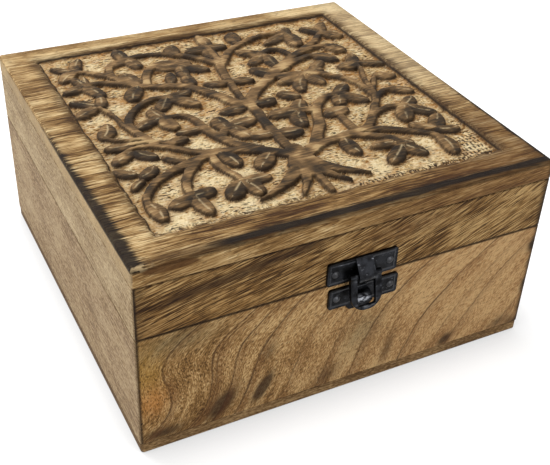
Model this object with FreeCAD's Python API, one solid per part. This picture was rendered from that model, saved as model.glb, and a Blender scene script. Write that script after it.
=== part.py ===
import FreeCAD, Part

import math
import os

# A square keepsake box of mango wood with a carved lid, a black iron hasp in
# front and two black iron butt hinges behind. Lengths are in millimetres.
# +Z is up, the front with the hasp faces -Y, and the origin is the middle of
# the underside. A distance called "out" is measured outwards from a face.

Vector = FreeCAD.Vector

# Boards
box_width = 152.0
box_depth = 152.0
wall_thickness = 9.0
base_panel_thickness = 4.0
base_wall_height = 44.5
lid_rail_height = 19.5
lid_panel_thickness = 7.0
base_panel_inset = 0.2

# Worn and rounded edges of the boards
corner_round = 1.2
arris_round = 0.5
lid_edge_round = 1.0
base_edge_round = 0.6

# Carved field sunk into the lid panel, and the plain border left on its four sides
left_border = 12.8
right_border = 12.4
front_border = 13.8
back_border = 11.0
carving_depth = 1.6

# Tree left standing in the carved field: widths of its trunk, roots, limbs and leaves
trunk_head_width = 7.0
trunk_foot_width = 12.8
root_width = 5.0
root_tip_width = 1.6
limb_width = 4.6
twig_width = 3.6
limb_tip_width = 2.6
leaf_width = 5.8

# Where the tree goes, in shares of the carved field's width and depth from its front left corner.
# The trunk, a root, a limb or a twig is a row of places from its thick end. A leaf is a base and a tip.
trunk_shares = ((0.475, 0.11), (0.48, 0.165), (0.485, 0.225))
root_shares = (
    ((0.445, 0.14), (0.385, 0.085), (0.295, 0.04)),
    ((0.46, 0.115), (0.435, 0.065), (0.41, 0.025)),
    ((0.48, 0.105), (0.48, 0.055), (0.48, 0.02)),
    ((0.495, 0.115), (0.52, 0.07), (0.545, 0.035)),
    ((0.505, 0.14), (0.56, 0.08), (0.61, 0.045)),
)
limb_shares = (
    ((0.48, 0.20), (0.475, 0.30), (0.48, 0.405), (0.48, 0.505)),
    ((0.52, 0.795), (0.49, 0.69), (0.485, 0.605), (0.48, 0.505)),
    ((0.465, 0.205), (0.39, 0.26), (0.29, 0.295), (0.21, 0.335), (0.14, 0.385), (0.05, 0.37)),
    ((0.40, 0.265), (0.335, 0.345), (0.305, 0.435), (0.28, 0.51), (0.225, 0.525)),
    ((0.16, 0.39), (0.125, 0.495), (0.145, 0.575), (0.205, 0.625), (0.28, 0.635)),
    ((0.48, 0.50), (0.42, 0.59), (0.355, 0.675), (0.25, 0.72), (0.17, 0.775), (0.08, 0.795)),
    ((0.485, 0.505), (0.545, 0.58), (0.665, 0.675), (0.79, 0.77), (0.865, 0.82), (0.925, 0.87)),
    ((0.73, 0.62), (0.795, 0.58), (0.84, 0.52), (0.85, 0.425)),
    ((0.51, 0.195), (0.605, 0.23), (0.72, 0.25), (0.79, 0.32), (0.84, 0.395), (0.87, 0.46)),
    ((0.515, 0.20), (0.585, 0.275), (0.63, 0.355), (0.675, 0.44), (0.76, 0.465)),
    ((0.515, 0.785), (0.46, 0.85), (0.37, 0.91), (0.26, 0.92)),
    ((0.52, 0.78), (0.58, 0.85), (0.69, 0.915), (0.795, 0.915)),
)
twig_shares = (
    ((0.23, 0.735), (0.19, 0.785), (0.145, 0.845), (0.085, 0.89)),
    ((0.25, 0.72), (0.27, 0.785), (0.31, 0.835), (0.38, 0.845)),
    ((0.635, 0.645), (0.685, 0.63), (0.725, 0.62)),
    ((0.28, 0.295), (0.175, 0.265), (0.08, 0.21), (0.03, 0.13)),
    ((0.23, 0.28), (0.175, 0.215), (0.145, 0.12)),
    ((0.27, 0.295), (0.265, 0.215), (0.285, 0.13)),
    ((0.665, 0.235), (0.735, 0.20), (0.77, 0.135)),
    ((0.715, 0.25), (0.82, 0.195), (0.89, 0.125)),
    ((0.695, 0.25), (0.69, 0.305), (0.695, 0.355)),
    ((0.775, 0.305), (0.84, 0.335), (0.90, 0.325)),
    ((0.69, 0.685), (0.76, 0.72), (0.83, 0.715)),
    ((0.77, 0.755), (0.84, 0.775), (0.895, 0.765)),
    ((0.52, 0.79), (0.52, 0.845), (0.52, 0.905)),
    ((0.65, 0.44), (0.625, 0.42), (0.595, 0.415)),
    ((0.335, 0.35), (0.355, 0.385), (0.385, 0.405)),
)
leaf_shares = (
    (0.485, 0.32, 0.545, 0.315), (0.465, 0.325, 0.405, 0.335), (0.46, 0.50, 0.385, 0.485),
    (0.50, 0.50, 0.565, 0.505), (0.50, 0.655, 0.56, 0.645), (0.52, 0.90, 0.525, 0.985),
    (0.525, 0.905, 0.45, 0.90), (0.515, 0.905, 0.58, 0.895), (0.08, 0.38, 0.02, 0.335),
    (0.085, 0.375, 0.13, 0.33), (0.145, 0.325, 0.19, 0.29), (0.06, 0.25, 0.105, 0.285),
    (0.29, 0.285, 0.31, 0.21), (0.41, 0.23, 0.36, 0.175), (0.03, 0.13, 0.04, 0.055),
    (0.145, 0.12, 0.08, 0.095), (0.15, 0.115, 0.16, 0.04), (0.145, 0.12, 0.205, 0.135),
    (0.285, 0.135, 0.23, 0.075), (0.29, 0.135, 0.31, 0.07), (0.285, 0.13, 0.36, 0.13),
    (0.365, 0.40, 0.365, 0.46), (0.38, 0.405, 0.455, 0.42), (0.38, 0.405, 0.40, 0.335),
    (0.23, 0.515, 0.205, 0.58), (0.225, 0.53, 0.235, 0.46), (0.27, 0.635, 0.355, 0.645),
    (0.275, 0.63, 0.235, 0.57), (0.28, 0.625, 0.345, 0.56), (0.07, 0.645, 0.02, 0.615),
    (0.035, 0.475, 0.065, 0.54), (0.08, 0.79, 0.11, 0.715), (0.225, 0.725, 0.18, 0.655),
    (0.235, 0.75, 0.21, 0.82), (0.085, 0.895, 0.03, 0.84), (0.25, 0.91, 0.245, 0.98),
    (0.255, 0.915, 0.27, 0.85), (0.325, 0.83, 0.425, 0.83), (0.39, 0.815, 0.465, 0.76),
    (0.39, 0.815, 0.38, 0.735), (0.40, 0.89, 0.42, 0.955), (0.625, 0.90, 0.64, 0.975),
    (0.81, 0.905, 0.80, 0.815), (0.805, 0.91, 0.71, 0.855), (0.645, 0.66, 0.59, 0.71),
    (0.925, 0.87, 0.97, 0.83), (0.92, 0.87, 0.875, 0.925), (0.67, 0.80, 0.595, 0.84),
    (0.665, 0.80, 0.60, 0.74), (0.665, 0.795, 0.665, 0.705), (0.815, 0.725, 0.865, 0.675),
    (0.89, 0.775, 0.925, 0.725), (0.71, 0.615, 0.625, 0.59), (0.72, 0.62, 0.75, 0.545),
    (0.715, 0.61, 0.665, 0.52), (0.725, 0.62, 0.79, 0.625), (0.915, 0.63, 0.855, 0.615),
    (0.91, 0.625, 0.935, 0.685), (0.925, 0.53, 0.975, 0.51), (0.595, 0.53, 0.64, 0.495),
    (0.755, 0.46, 0.805, 0.505), (0.755, 0.465, 0.73, 0.405), (0.76, 0.465, 0.815, 0.395),
    (0.605, 0.415, 0.51, 0.42), (0.60, 0.41, 0.63, 0.465), (0.60, 0.415, 0.57, 0.335),
    (0.66, 0.365, 0.73, 0.375), (0.765, 0.145, 0.69, 0.155), (0.765, 0.13, 0.695, 0.065),
    (0.765, 0.135, 0.805, 0.07), (0.635, 0.225, 0.635, 0.14), (0.89, 0.135, 0.88, 0.04),
    (0.91, 0.175, 0.955, 0.24), (0.91, 0.175, 0.855, 0.225), (0.905, 0.17, 0.965, 0.155),
    (0.90, 0.325, 0.86, 0.25), (0.905, 0.325, 0.96, 0.255), (0.90, 0.325, 0.945, 0.365),
    (0.915, 0.435, 0.97, 0.395),
)

# Nails of the hasp and the hinges, and the brads under the base panel
nail_head_radius = 1.4
nail_head_height = 0.6
nail_shank_radius = 0.6
nail_length = 7.0
nail_point = 1.5
brad_radius = 0.6
brad_length = 16.0
brad_sunk = 0.6
brad_margin = 30.0
nail_clearance = 0.05

# Hasp plates, both as wide as each other and set off the middle of the front. The base plate sits
# a little to the right of the lid plate and has a tab under its middle, behind the loop.
hasp_x = 1.6
hasp_plate_width = 26.2
hasp_plate_thickness = 1.0
hasp_plate_corner = 0.9
lid_plate_height = 8.8
lid_plate_lift = 0.2
base_plate_height = 7.9
base_plate_drop = 1.8
base_plate_shift = 1.2
base_tab_width = 9.6
base_tab_drop = 2.0
base_tab_corner = 1.6
hasp_nail_margin = 2.9

# Strap of the lid plate, folded round the top bar of the loop
strap_width = 6.2
strap_thickness = 0.9
bar_radius = 1.1
bar_clearance = 0.1
bar_stand_off = 0.4
bar_lift = 2.5

# Swinging loop, stored a little ajar so that its foot stands clear of the catch
loop_width = 11.6
loop_length = 12.3
loop_thickness = 1.3
loop_window_width = 6.8
loop_foot = 1.4
loop_foot_round = 5.2
loop_window_round = 1.0
loop_ajar_degrees = 13.0

# Catch, a tongue cut from the base plate and bent out into the loop's window
catch_width = 5.8
catch_thickness = 1.0
catch_round = 3.1
catch_drop = 2.6

# Butt hinges on the back, each a margin in from its side of the box
hinge_margin = 16.0
hinge_length = 24.0
leaf_height = 9.5
leaf_thickness = 1.0
leaf_corner = 1.2
barrel_radius = 1.9
barrel_gap = 0.3
pin_radius = 0.9
pin_clearance = 0.05
pin_end = 0.5
pin_chamfer = 0.25
knuckle_count = 3
knuckle_gap = 0.25
hinge_nail_margin = 4.5

# How far a cutting shape runs past what it cuts
overrun = 5.0
# How near two places are to count as one
same_place = 0.001

# Places that follow from the sizes above
front_y = -box_depth / 2
back_y = box_depth / 2
seam_z = base_panel_thickness + base_wall_height
lid_panel_z = seam_z + lid_rail_height
top_z = lid_panel_z + lid_panel_thickness
field_x = left_border - box_width / 2
field_y = front_y + front_border
field_width = box_width - left_border - right_border
field_depth = box_depth - front_border - back_border
ground_z = top_z - carving_depth
lid_plate_z = seam_z + lid_plate_lift
base_plate_z = seam_z - base_plate_drop - base_plate_height
base_plate_x = hasp_x + base_plate_shift
bar_out = hasp_plate_thickness + bar_stand_off + bar_clearance + bar_radius
bar_z = lid_plate_z + bar_lift
hinge_axis_out = barrel_radius + barrel_gap


# Shapes that several pieces share

def rounded_face(width, height, radius):
    """A flat rectangle about the origin in XY with round corners."""
    x, y = width / 2, height / 2
    diagonal = radius * (1 - math.sqrt(0.5))
    corners = [(1, 1), (-1, 1), (-1, -1), (1, -1)]
    edges = []
    for index, (sx, sy) in enumerate(corners):
        beside = Vector(sx * x, sy * (y - radius), 0)
        above = Vector(sx * (x - radius), sy * y, 0)
        middle = Vector(sx * (x - diagonal), sy * (y - diagonal), 0)
        start, end = (beside, above) if sx == sy else (above, beside)
        if edges:
            edges.append(Part.LineSegment(last_point, start).toShape())
        else:
            first_point = start
        edges.append(Part.Arc(start, middle, end).toShape())
        last_point = end
    edges.append(Part.LineSegment(last_point, first_point).toShape())
    return Part.Face(Part.Wire(edges))


def round_rim(solid, z, radius):
    """Rounds the edges of a solid that lie in the level plane z."""
    rim = [e for e in solid.Edges
           if abs(e.BoundBox.ZMin - z) < same_place and abs(e.BoundBox.ZMax - z) < same_place]
    return solid.makeFillet(radius, rim)


def board(width, depth, z, thickness, upper_round, lower_round):
    """A level board with round corners and rounded upper and lower rims."""
    solid = rounded_face(width, depth, corner_round).extrude(Vector(0, 0, thickness))
    solid.translate(Vector(0, 0, z))
    solid = round_rim(solid, z + thickness, upper_round)
    return round_rim(solid, z, lower_round)


def block(x, y, z, width, depth, height):
    """A box centred on x and y that stands on z."""
    return Part.makeBox(width, depth, height, Vector(x - width / 2, y - depth / 2, z))


def out_plate(x, face_y, outward, z, width, height, thickness, corner):
    """An upright plate with round corners that lies on a face, centred on x, with its foot at z."""
    solid = rounded_face(width, height, corner).extrude(Vector(0, 0, thickness))
    solid.rotate(Vector(0, 0, 0), Vector(1, 0, 0), 90)
    solid.translate(Vector(x, face_y + (thickness if outward > 0 else 0), z + height / 2))
    return solid


def profile(points, x, width, face_y, outward):
    """Carries an outline of edges in the (out, z) plane along X, centred on x.
    Two points make a straight edge and three an arc."""
    edges = []
    for run in points:
        place = [Vector(x - width / 2, face_y + outward * out, z) for out, z in run]
        edge = Part.LineSegment(*place) if len(place) == 2 else Part.Arc(*place)
        edges.append(edge.toShape())
    return Part.Face(Part.Wire(edges)).extrude(Vector(width, 0, 0))


def level_bar(x, y, z, length, radius):
    """A round bar along X, centred on x."""
    return Part.makeCylinder(radius, length, Vector(x - length / 2, y, z), Vector(1, 0, 0))


def on_circle(centre, radius, angle):
    """The point of a circle in the (out, z) plane at an angle in radians from straight out."""
    return (centre[0] + radius * math.cos(angle), centre[1] + radius * math.sin(angle))


def nail(x, seat_y, z, outward):
    """A domed nail driven into the front or the back, with its head on a plate."""
    dome = (nail_head_radius ** 2 + nail_head_height ** 2) / (2 * nail_head_height)
    half = math.asin(nail_head_radius / dome) / 2
    crown = Vector(0, 0, nail_head_height)
    middle = Vector(dome * math.sin(half), 0, nail_head_height - dome * (1 - math.cos(half)))
    rim = Vector(nail_head_radius, 0, 0)
    neck = Vector(nail_shank_radius, 0, 0)
    shoulder = Vector(nail_shank_radius, 0, nail_point - nail_length)
    tip = Vector(0, 0, -nail_length)
    edges = [Part.Arc(crown, middle, rim).toShape()]
    for start, end in ((rim, neck), (neck, shoulder), (shoulder, tip), (tip, crown)):
        edges.append(Part.LineSegment(start, end).toShape())
    solid = Part.Face(Part.Wire(edges)).revolve(Vector(0, 0, 0), Vector(0, 0, 1), 360)
    solid.rotate(Vector(0, 0, 0), Vector(1, 0, 0), -90 * outward)
    solid.translate(Vector(x, seat_y, z))
    return solid


def nail_hole(x, seat_y, z, outward):
    """The hole that a nail leaves in a plate and in the board behind it."""
    depth = nail_length + nail_clearance
    start = Vector(x, seat_y + outward * overrun, z)
    return Part.makeCylinder(nail_shank_radius + nail_clearance, depth + overrun, start,
                             Vector(0, -outward, 0))


def cut_all(solid, tools):
    """The solid with every tool cut out of it."""
    for tool in tools:
        solid = solid.cut(tool)
    return solid


def join_all(solids):
    """One solid from several that overlap or touch, without needless edges."""
    return solids[0].fuse(solids[1:]).removeSplitter()


# Where the nails and the brads go

def nail_row(x, width, margin):
    """The two places along X of a pair of nails, a margin in from the ends of a plate."""
    reach = width / 2 - margin
    return [x - reach, x + reach]


hinge_reach = box_width / 2 - hinge_margin - hinge_length / 2
hinge_places = [-hinge_reach, hinge_reach]
hinge_nails_x = [x for place in hinge_places for x in nail_row(place, hinge_length, hinge_nail_margin)]
hasp_seat_y = front_y - hasp_plate_thickness
hinge_seat_y = back_y + leaf_thickness
lid_nail_z = lid_plate_z + lid_plate_height / 2
base_nail_z = base_plate_z + base_plate_height / 2
leaf_start = hinge_axis_out + knuckle_gap
leaf_nail_drop = (leaf_start + leaf_height) / 2


def hasp_nails(make, plate_x, z):
    """Nails, or their holes, of one hasp plate."""
    return [make(x, hasp_seat_y, z, -1) for x in nail_row(plate_x, hasp_plate_width, hasp_nail_margin)]


def hinge_nails(make, z):
    """Nails, or their holes, of one leaf of both hinges."""
    return [make(x, hinge_seat_y, z, 1) for x in hinge_nails_x]


def brad_places():
    """Two brads up into the middle of each wall."""
    side_x = (box_width - wall_thickness) / 2
    side_y = (box_depth - wall_thickness) / 2
    along_x = box_width / 2 - brad_margin
    along_y = box_depth / 2 - brad_margin
    signs = [(sx, sy) for sx in (-1, 1) for sy in (-1, 1)]
    return [(sx * along_x, sy * side_y) for sx, sy in signs] + \
           [(sx * side_x, sy * along_y) for sx, sy in signs]


def brads(radius, z, length):
    """Round bars at the places of the brads."""
    return [Part.makeCylinder(radius, length, Vector(x, y, z)) for x, y in brad_places()]


# Boards of the base and the lid

def mitred_boards(z, height):
    """Four boards that stand on z and meet in 45 degree mitres: front, back, left, right."""
    ring = board(box_width, box_depth, z, height, arris_round, arris_round)
    inner_width = box_width - 2 * wall_thickness
    inner_depth = box_depth - 2 * wall_thickness
    ring = ring.cut(block(0, 0, z - overrun, inner_width, inner_depth, height + 2 * overrun))
    boards = []
    for sx, sy in ((0, -1), (0, 1), (-1, 0), (1, 0)):
        wedge = []
        for reach, end in ((overrun, -1), (overrun, 1), (-wall_thickness, 1), (-wall_thickness, -1)):
            half_width, half_depth = box_width / 2 + reach, box_depth / 2 + reach
            corner = (end * half_width, sy * half_depth) if sy else (sx * half_width, end * half_depth)
            wedge.append(Vector(corner[0], corner[1], z - overrun))
        wedge.append(wedge[0])
        prism = Part.Face(Part.makePolygon(wedge)).extrude(Vector(0, 0, height + 2 * overrun))
        boards.append(ring.common(prism))
    return boards


def base_boards():
    """Walls and bottom of the base, with the holes of its nails and brads."""
    front, back, left, right = mitred_boards(base_panel_thickness, base_wall_height)
    brad_top = brad_sunk + brad_length + nail_clearance
    brad_holes = brads(brad_radius + nail_clearance, -overrun, brad_top + overrun)
    panel_width = box_width - 2 * base_panel_inset
    panel_depth = box_depth - 2 * base_panel_inset
    panel = board(panel_width, panel_depth, 0, base_panel_thickness, arris_round, base_edge_round)
    return {
        "front_wall": cut_all(front, brad_holes + hasp_nails(nail_hole, base_plate_x, base_nail_z)),
        "back_wall": cut_all(back, brad_holes + hinge_nails(nail_hole, seam_z - leaf_nail_drop)),
        "left_wall": cut_all(left, brad_holes),
        "right_wall": cut_all(right, brad_holes),
        "base_panel": cut_all(panel, brad_holes),
    }


def field_place(across, along):
    """A place on the ground of the carved field, from shares of its width and depth."""
    return Vector(field_x + across * field_width, field_y + along * field_depth, ground_z)


def smooth_line(points):
    """A smooth curve through points."""
    curve = Part.BSplineCurve()
    curve.interpolate(points)
    return curve.toShape()


def limb(shares, start_width, end_width):
    """The outline of a limb along a smooth line through its places. It tapers and has round ends."""
    places = [field_place(*share) for share in shares]
    last = len(places) - 1
    left, right, ends = [], [], []
    for index, place in enumerate(places):
        ahead = (places[min(index + 1, last)] - places[max(index - 1, 0)]).normalize()
        half = (start_width + (end_width - start_width) * index / last) / 2
        aside = Vector(-ahead.y, ahead.x, 0) * half
        left.append(place + aside)
        right.insert(0, place - aside)
        ends.append((place - ahead * half, place + ahead * half))
    tail, tip = ends[0][0], ends[-1][1]
    edges = [smooth_line(left), Part.Arc(left[-1], tip, right[0]).toShape(),
             smooth_line(right), Part.Arc(right[-1], tail, left[0]).toShape()]
    return Part.Face(Part.Wire(edges))


def leaf(base_across, base_along, tip_across, tip_along):
    """The outline of a pointed leaf: two arcs from its base to its tip."""
    base = field_place(base_across, base_along)
    tip = field_place(tip_across, tip_along)
    ahead = (tip - base).normalize()
    aside = Vector(-ahead.y, ahead.x, 0) * (leaf_width / 2)
    middle = (base + tip) * 0.5
    edges = [Part.Arc(base, middle + aside, tip).toShape(), Part.Arc(tip, middle - aside, base).toShape()]
    return Part.Face(Part.Wire(edges))


def standing_tree():
    """The tree as upright blocks, taller than the carving is deep."""
    outlines = [limb(trunk_shares, trunk_foot_width, trunk_head_width)]
    outlines += [limb(shares, root_width, root_tip_width) for shares in root_shares]
    outlines += [limb(shares, limb_width, limb_tip_width) for shares in limb_shares]
    outlines += [limb(shares, twig_width, limb_tip_width) for shares in twig_shares]
    outlines += [leaf(*shares) for shares in leaf_shares]
    return join_all([outline.extrude(Vector(0, 0, carving_depth + 2 * overrun)) for outline in outlines])


def lid_boards():
    """Rails and carved panel of the lid, with the tree left standing in its carved field."""
    front, back, left, right = mitred_boards(seam_z, lid_rail_height)
    panel = board(box_width, box_depth, lid_panel_z, lid_panel_thickness, lid_edge_round, arris_round)
    field = Part.makeBox(field_width, field_depth, carving_depth + overrun, Vector(field_x, field_y, ground_z))
    return {
        "lid_front_rail": cut_all(front, hasp_nails(nail_hole, hasp_x, lid_nail_z)),
        "lid_back_rail": cut_all(back, hinge_nails(nail_hole, seam_z + leaf_nail_drop)),
        "lid_left_rail": left,
        "lid_right_rail": right,
        "lid_top_panel": panel.cut(field.cut(standing_tree())),
    }


# Hasp

def strap_outline(inset):
    """Outline of the strap's fold, taken in by inset: down a slope from the head of the plate,
    round the front of the bar, and back to the plate under it."""
    centre = (bar_out, bar_z)
    outer = bar_radius + bar_clearance + strap_thickness
    head = (hasp_plate_thickness, lid_plate_z + lid_plate_height)
    reach = math.hypot(head[0] - centre[0], head[1] - centre[1])
    bearing = math.atan2(head[1] - centre[1], head[0] - centre[0])
    lean = bearing - math.acos(outer / reach)
    radius = outer - inset
    touch = on_circle(centre, radius, lean)
    start = (hasp_plate_thickness, touch[1] + (touch[0] - hasp_plate_thickness) / math.tan(lean))
    front = on_circle(centre, radius, (lean - math.pi / 2) / 2)
    under = (bar_out, bar_z - radius)
    foot = (hasp_plate_thickness, bar_z - radius)
    return [(start, touch), (touch, front, under), (under, foot), (foot, start)]


def hasp_lid_plate():
    """Plate on the lid with the strap that the loop hangs from."""
    plate = out_plate(hasp_x, front_y, -1, lid_plate_z, hasp_plate_width, lid_plate_height,
                      hasp_plate_thickness, hasp_plate_corner)
    fold = profile(strap_outline(0), hasp_x, strap_width, front_y, -1)
    hollow = profile(strap_outline(strap_thickness), hasp_x, strap_width + 2 * overrun, front_y, -1)
    return cut_all(join_all([plate, fold.cut(hollow)]), hasp_nails(nail_hole, hasp_x, lid_nail_z))


def hasp_base_plate():
    """Plate on the base with a tab under it, and the catch bent out of it."""
    plate = out_plate(base_plate_x, front_y, -1, base_plate_z, hasp_plate_width, base_plate_height,
                      hasp_plate_thickness, hasp_plate_corner)
    tab = out_plate(hasp_x, front_y, -1, base_plate_z - base_tab_drop, base_tab_width,
                    base_tab_drop + base_plate_height / 2, hasp_plate_thickness, base_tab_corner)
    plate = join_all([plate, tab])
    root_z = base_plate_z + base_plate_height - catch_drop
    centre = (hasp_plate_thickness, root_z - catch_round)
    inner = catch_round - catch_thickness
    quarter = math.pi / 2
    tongue = profile([
        (on_circle(centre, catch_round, quarter), on_circle(centre, catch_round, quarter / 2),
         on_circle(centre, catch_round, 0)),
        (on_circle(centre, catch_round, 0), on_circle(centre, inner, 0)),
        (on_circle(centre, inner, 0), on_circle(centre, inner, quarter / 2),
         on_circle(centre, inner, quarter)),
        (on_circle(centre, inner, quarter), (0, centre[1] + inner)),
        ((0, centre[1] + inner), (0, root_z)),
        ((0, root_z), on_circle(centre, catch_round, quarter)),
    ], hasp_x, catch_width, front_y, -1)
    tongue_length = quarter * (catch_round + inner) / 2
    gap = block(hasp_x, front_y, root_z - catch_thickness - tongue_length,
                catch_width, 2 * hasp_plate_thickness + overrun, tongue_length)
    return cut_all(join_all([plate.cut(gap), tongue]), hasp_nails(nail_hole, base_plate_x, base_nail_z))


def hasp_loop():
    """Flat loop with a round top bar, a window for the catch and a rounded foot."""
    bar_y = front_y - bar_out
    full = rounded_face(loop_width, 2 * loop_length, loop_foot_round)
    window_height = 2 * (loop_length - loop_foot)
    full = full.cut(rounded_face(loop_window_width, window_height, loop_window_round))
    sheet = full.extrude(Vector(0, 0, loop_thickness))
    sheet.translate(Vector(0, 0, -loop_thickness / 2))
    lower = block(0, -loop_length, -overrun, loop_width + overrun, 2 * loop_length, 2 * overrun)
    sheet = sheet.common(lower)
    sheet.rotate(Vector(0, 0, 0), Vector(1, 0, 0), 90)
    loop = join_all([sheet, level_bar(0, 0, 0, loop_width, bar_radius)])
    loop.rotate(Vector(0, 0, 0), Vector(-1, 0, 0), loop_ajar_degrees)
    loop.translate(Vector(hasp_x, bar_y, bar_z))
    return loop


# Hinges

def knuckles(place, mine):
    """The stretches of one hinge's barrel that belong to a leaf: start and length along X."""
    length = (hinge_length - (knuckle_count - 1) * knuckle_gap) / knuckle_count
    start = place - hinge_length / 2
    return [(start + i * (length + knuckle_gap), length) for i in range(knuckle_count) if i % 2 == mine]


def hinge_leaf(place, side):
    """One leaf of a hinge: side is 1 on the lid and -1 on the base, which has the outer knuckles."""
    axis_y = back_y + hinge_axis_out
    height = leaf_height - leaf_start
    foot_z = seam_z + leaf_start if side > 0 else seam_z - leaf_height
    pieces = [out_plate(place, back_y, 1, foot_z, hinge_length, height, leaf_thickness, leaf_corner)]
    for start, length in knuckles(place, 1 if side > 0 else 0):
        tab_height = leaf_start + height / 2
        tab_z = seam_z if side > 0 else seam_z - tab_height
        pieces.append(Part.makeBox(length, leaf_thickness, tab_height, Vector(start, back_y, tab_z)))
        pieces.append(level_bar(start + length / 2, axis_y, seam_z, length, barrel_radius))
    bore = level_bar(place, axis_y, seam_z, hinge_length + 2 * overrun, pin_radius + pin_clearance)
    holes = hinge_nails(nail_hole, seam_z + side * leaf_nail_drop)
    return cut_all(join_all(pieces), [bore] + holes)


def hinge_pin(place):
    """Pin through the barrel of one hinge, standing out a little at both ends."""
    pin = level_bar(place, back_y + hinge_axis_out, seam_z, hinge_length + 2 * pin_end, pin_radius)
    ends = [e for e in pin.Edges if isinstance(e.Curve, Part.Circle)]
    return pin.makeChamfer(pin_chamfer, ends)


# Every piece by the name of its node

def pieces():
    """All sub-parts of the box as a dictionary of name to shape."""
    made = {**base_boards(), **lid_boards()}
    made["base_panel_brads"] = Part.makeCompound(brads(brad_radius, brad_sunk, brad_length))
    made["hasp_lid_plate"] = hasp_lid_plate()
    made["hasp_base_plate"] = hasp_base_plate()
    made["hasp_loop"] = hasp_loop()
    made["hasp_lid_nails"] = Part.makeCompound(hasp_nails(nail, hasp_x, lid_nail_z))
    made["hasp_base_nails"] = Part.makeCompound(hasp_nails(nail, base_plate_x, base_nail_z))
    for name, place in zip(("left", "right"), hinge_places):
        made[name + "_hinge_lid_leaf"] = hinge_leaf(place, 1)
        made[name + "_hinge_base_leaf"] = hinge_leaf(place, -1)
        made[name + "_hinge_pin"] = hinge_pin(place)
    made["hinge_lid_nails"] = Part.makeCompound(hinge_nails(nail, seam_z + leaf_nail_drop))
    made["hinge_base_nails"] = Part.makeCompound(hinge_nails(nail, seam_z - leaf_nail_drop))
    return made


os.makedirs("parts", exist_ok=True)
for name, shape in pieces().items():
    print(name, len(shape.Solids), "solid(s)", round(shape.Volume, 1), "mm3", shape.isValid())
    shape.exportStep(os.path.join("parts", name + ".step"))
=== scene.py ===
# %% [markdown]
# # A carved mango-wood keepsake box
# The box is plain joinery: four mitred walls on a thin bottom, four mitred rails under a thick carved
# board, a black iron hasp in front and two iron hinges behind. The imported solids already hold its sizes
# and its joints. This lesson gives them their looks: wood that was sawn, carved, scorched and rubbed back,
# and iron that was stamped out and blackened.

# %% Load the frame
import math

import bpy
import numpy as np
from mathutils import Matrix, Vector


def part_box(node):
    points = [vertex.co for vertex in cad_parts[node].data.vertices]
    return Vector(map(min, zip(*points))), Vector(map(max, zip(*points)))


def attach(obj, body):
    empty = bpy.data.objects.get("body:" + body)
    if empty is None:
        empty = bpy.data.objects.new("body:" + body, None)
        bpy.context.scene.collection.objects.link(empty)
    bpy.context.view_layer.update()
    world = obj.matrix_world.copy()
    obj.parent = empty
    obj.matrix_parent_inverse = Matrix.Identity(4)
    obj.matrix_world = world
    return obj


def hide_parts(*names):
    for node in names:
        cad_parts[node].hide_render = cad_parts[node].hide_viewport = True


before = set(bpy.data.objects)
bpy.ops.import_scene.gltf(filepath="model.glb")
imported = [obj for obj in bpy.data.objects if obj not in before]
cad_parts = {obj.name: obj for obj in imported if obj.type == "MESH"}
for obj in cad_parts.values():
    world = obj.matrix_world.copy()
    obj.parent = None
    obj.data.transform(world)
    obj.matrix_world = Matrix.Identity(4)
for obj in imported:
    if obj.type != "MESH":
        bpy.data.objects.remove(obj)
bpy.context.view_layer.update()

scene = bpy.context.scene
scene.view_settings.view_transform = "Standard"
mm = 0.001
print("pieces in the frame:", len(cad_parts))

# %% [markdown]
# ## The camera
# The picture was taken from close by, from the front left and above, so the near corner looks large. Such
# a view could be set with a Track To constraint, but here a bearing, a height angle, a distance and a
# small roll give the three axes of the camera directly, and the roll stays exact.

# %% Camera at the photograph's viewing angle
view_bearing = math.radians(-28.25)
view_height = math.radians(35.27)
view_roll = math.radians(2.69)
view_distance = 0.3508
view_target = Vector((-0.00574, -0.02946, 0.0380))

back = Vector((math.sin(view_bearing) * math.cos(view_height),
               -math.cos(view_bearing) * math.cos(view_height), math.sin(view_height)))
level = Vector((0, 0, 1)).cross(back).normalized()
upright = back.cross(level)
right = math.cos(view_roll) * level + math.sin(view_roll) * upright
up = math.cos(view_roll) * upright - math.sin(view_roll) * level

camera = bpy.data.objects.new("camera", bpy.data.cameras.new("camera"))
camera.data.lens = 63.03
camera.data.clip_start = 0.01
turned = Matrix((right, up, back)).transposed().to_4x4()
camera.matrix_world = Matrix.Translation(view_target + view_distance * back) @ turned
scene.collection.objects.link(camera)
scene.camera = camera
print("camera stands at", [round(value, 3) for value in camera.matrix_world.translation])

# %% [markdown]
# ## Writing shaders as sums
# A material is a graph of nodes. Wiring it by hand takes many lines, so one small class wraps a socket:
# adding or multiplying two wrapped sockets adds the Math node that does it, and one method adds any other
# node. A pattern then reads like the formula that it is.

# %% A socket that can be added and multiplied


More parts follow.
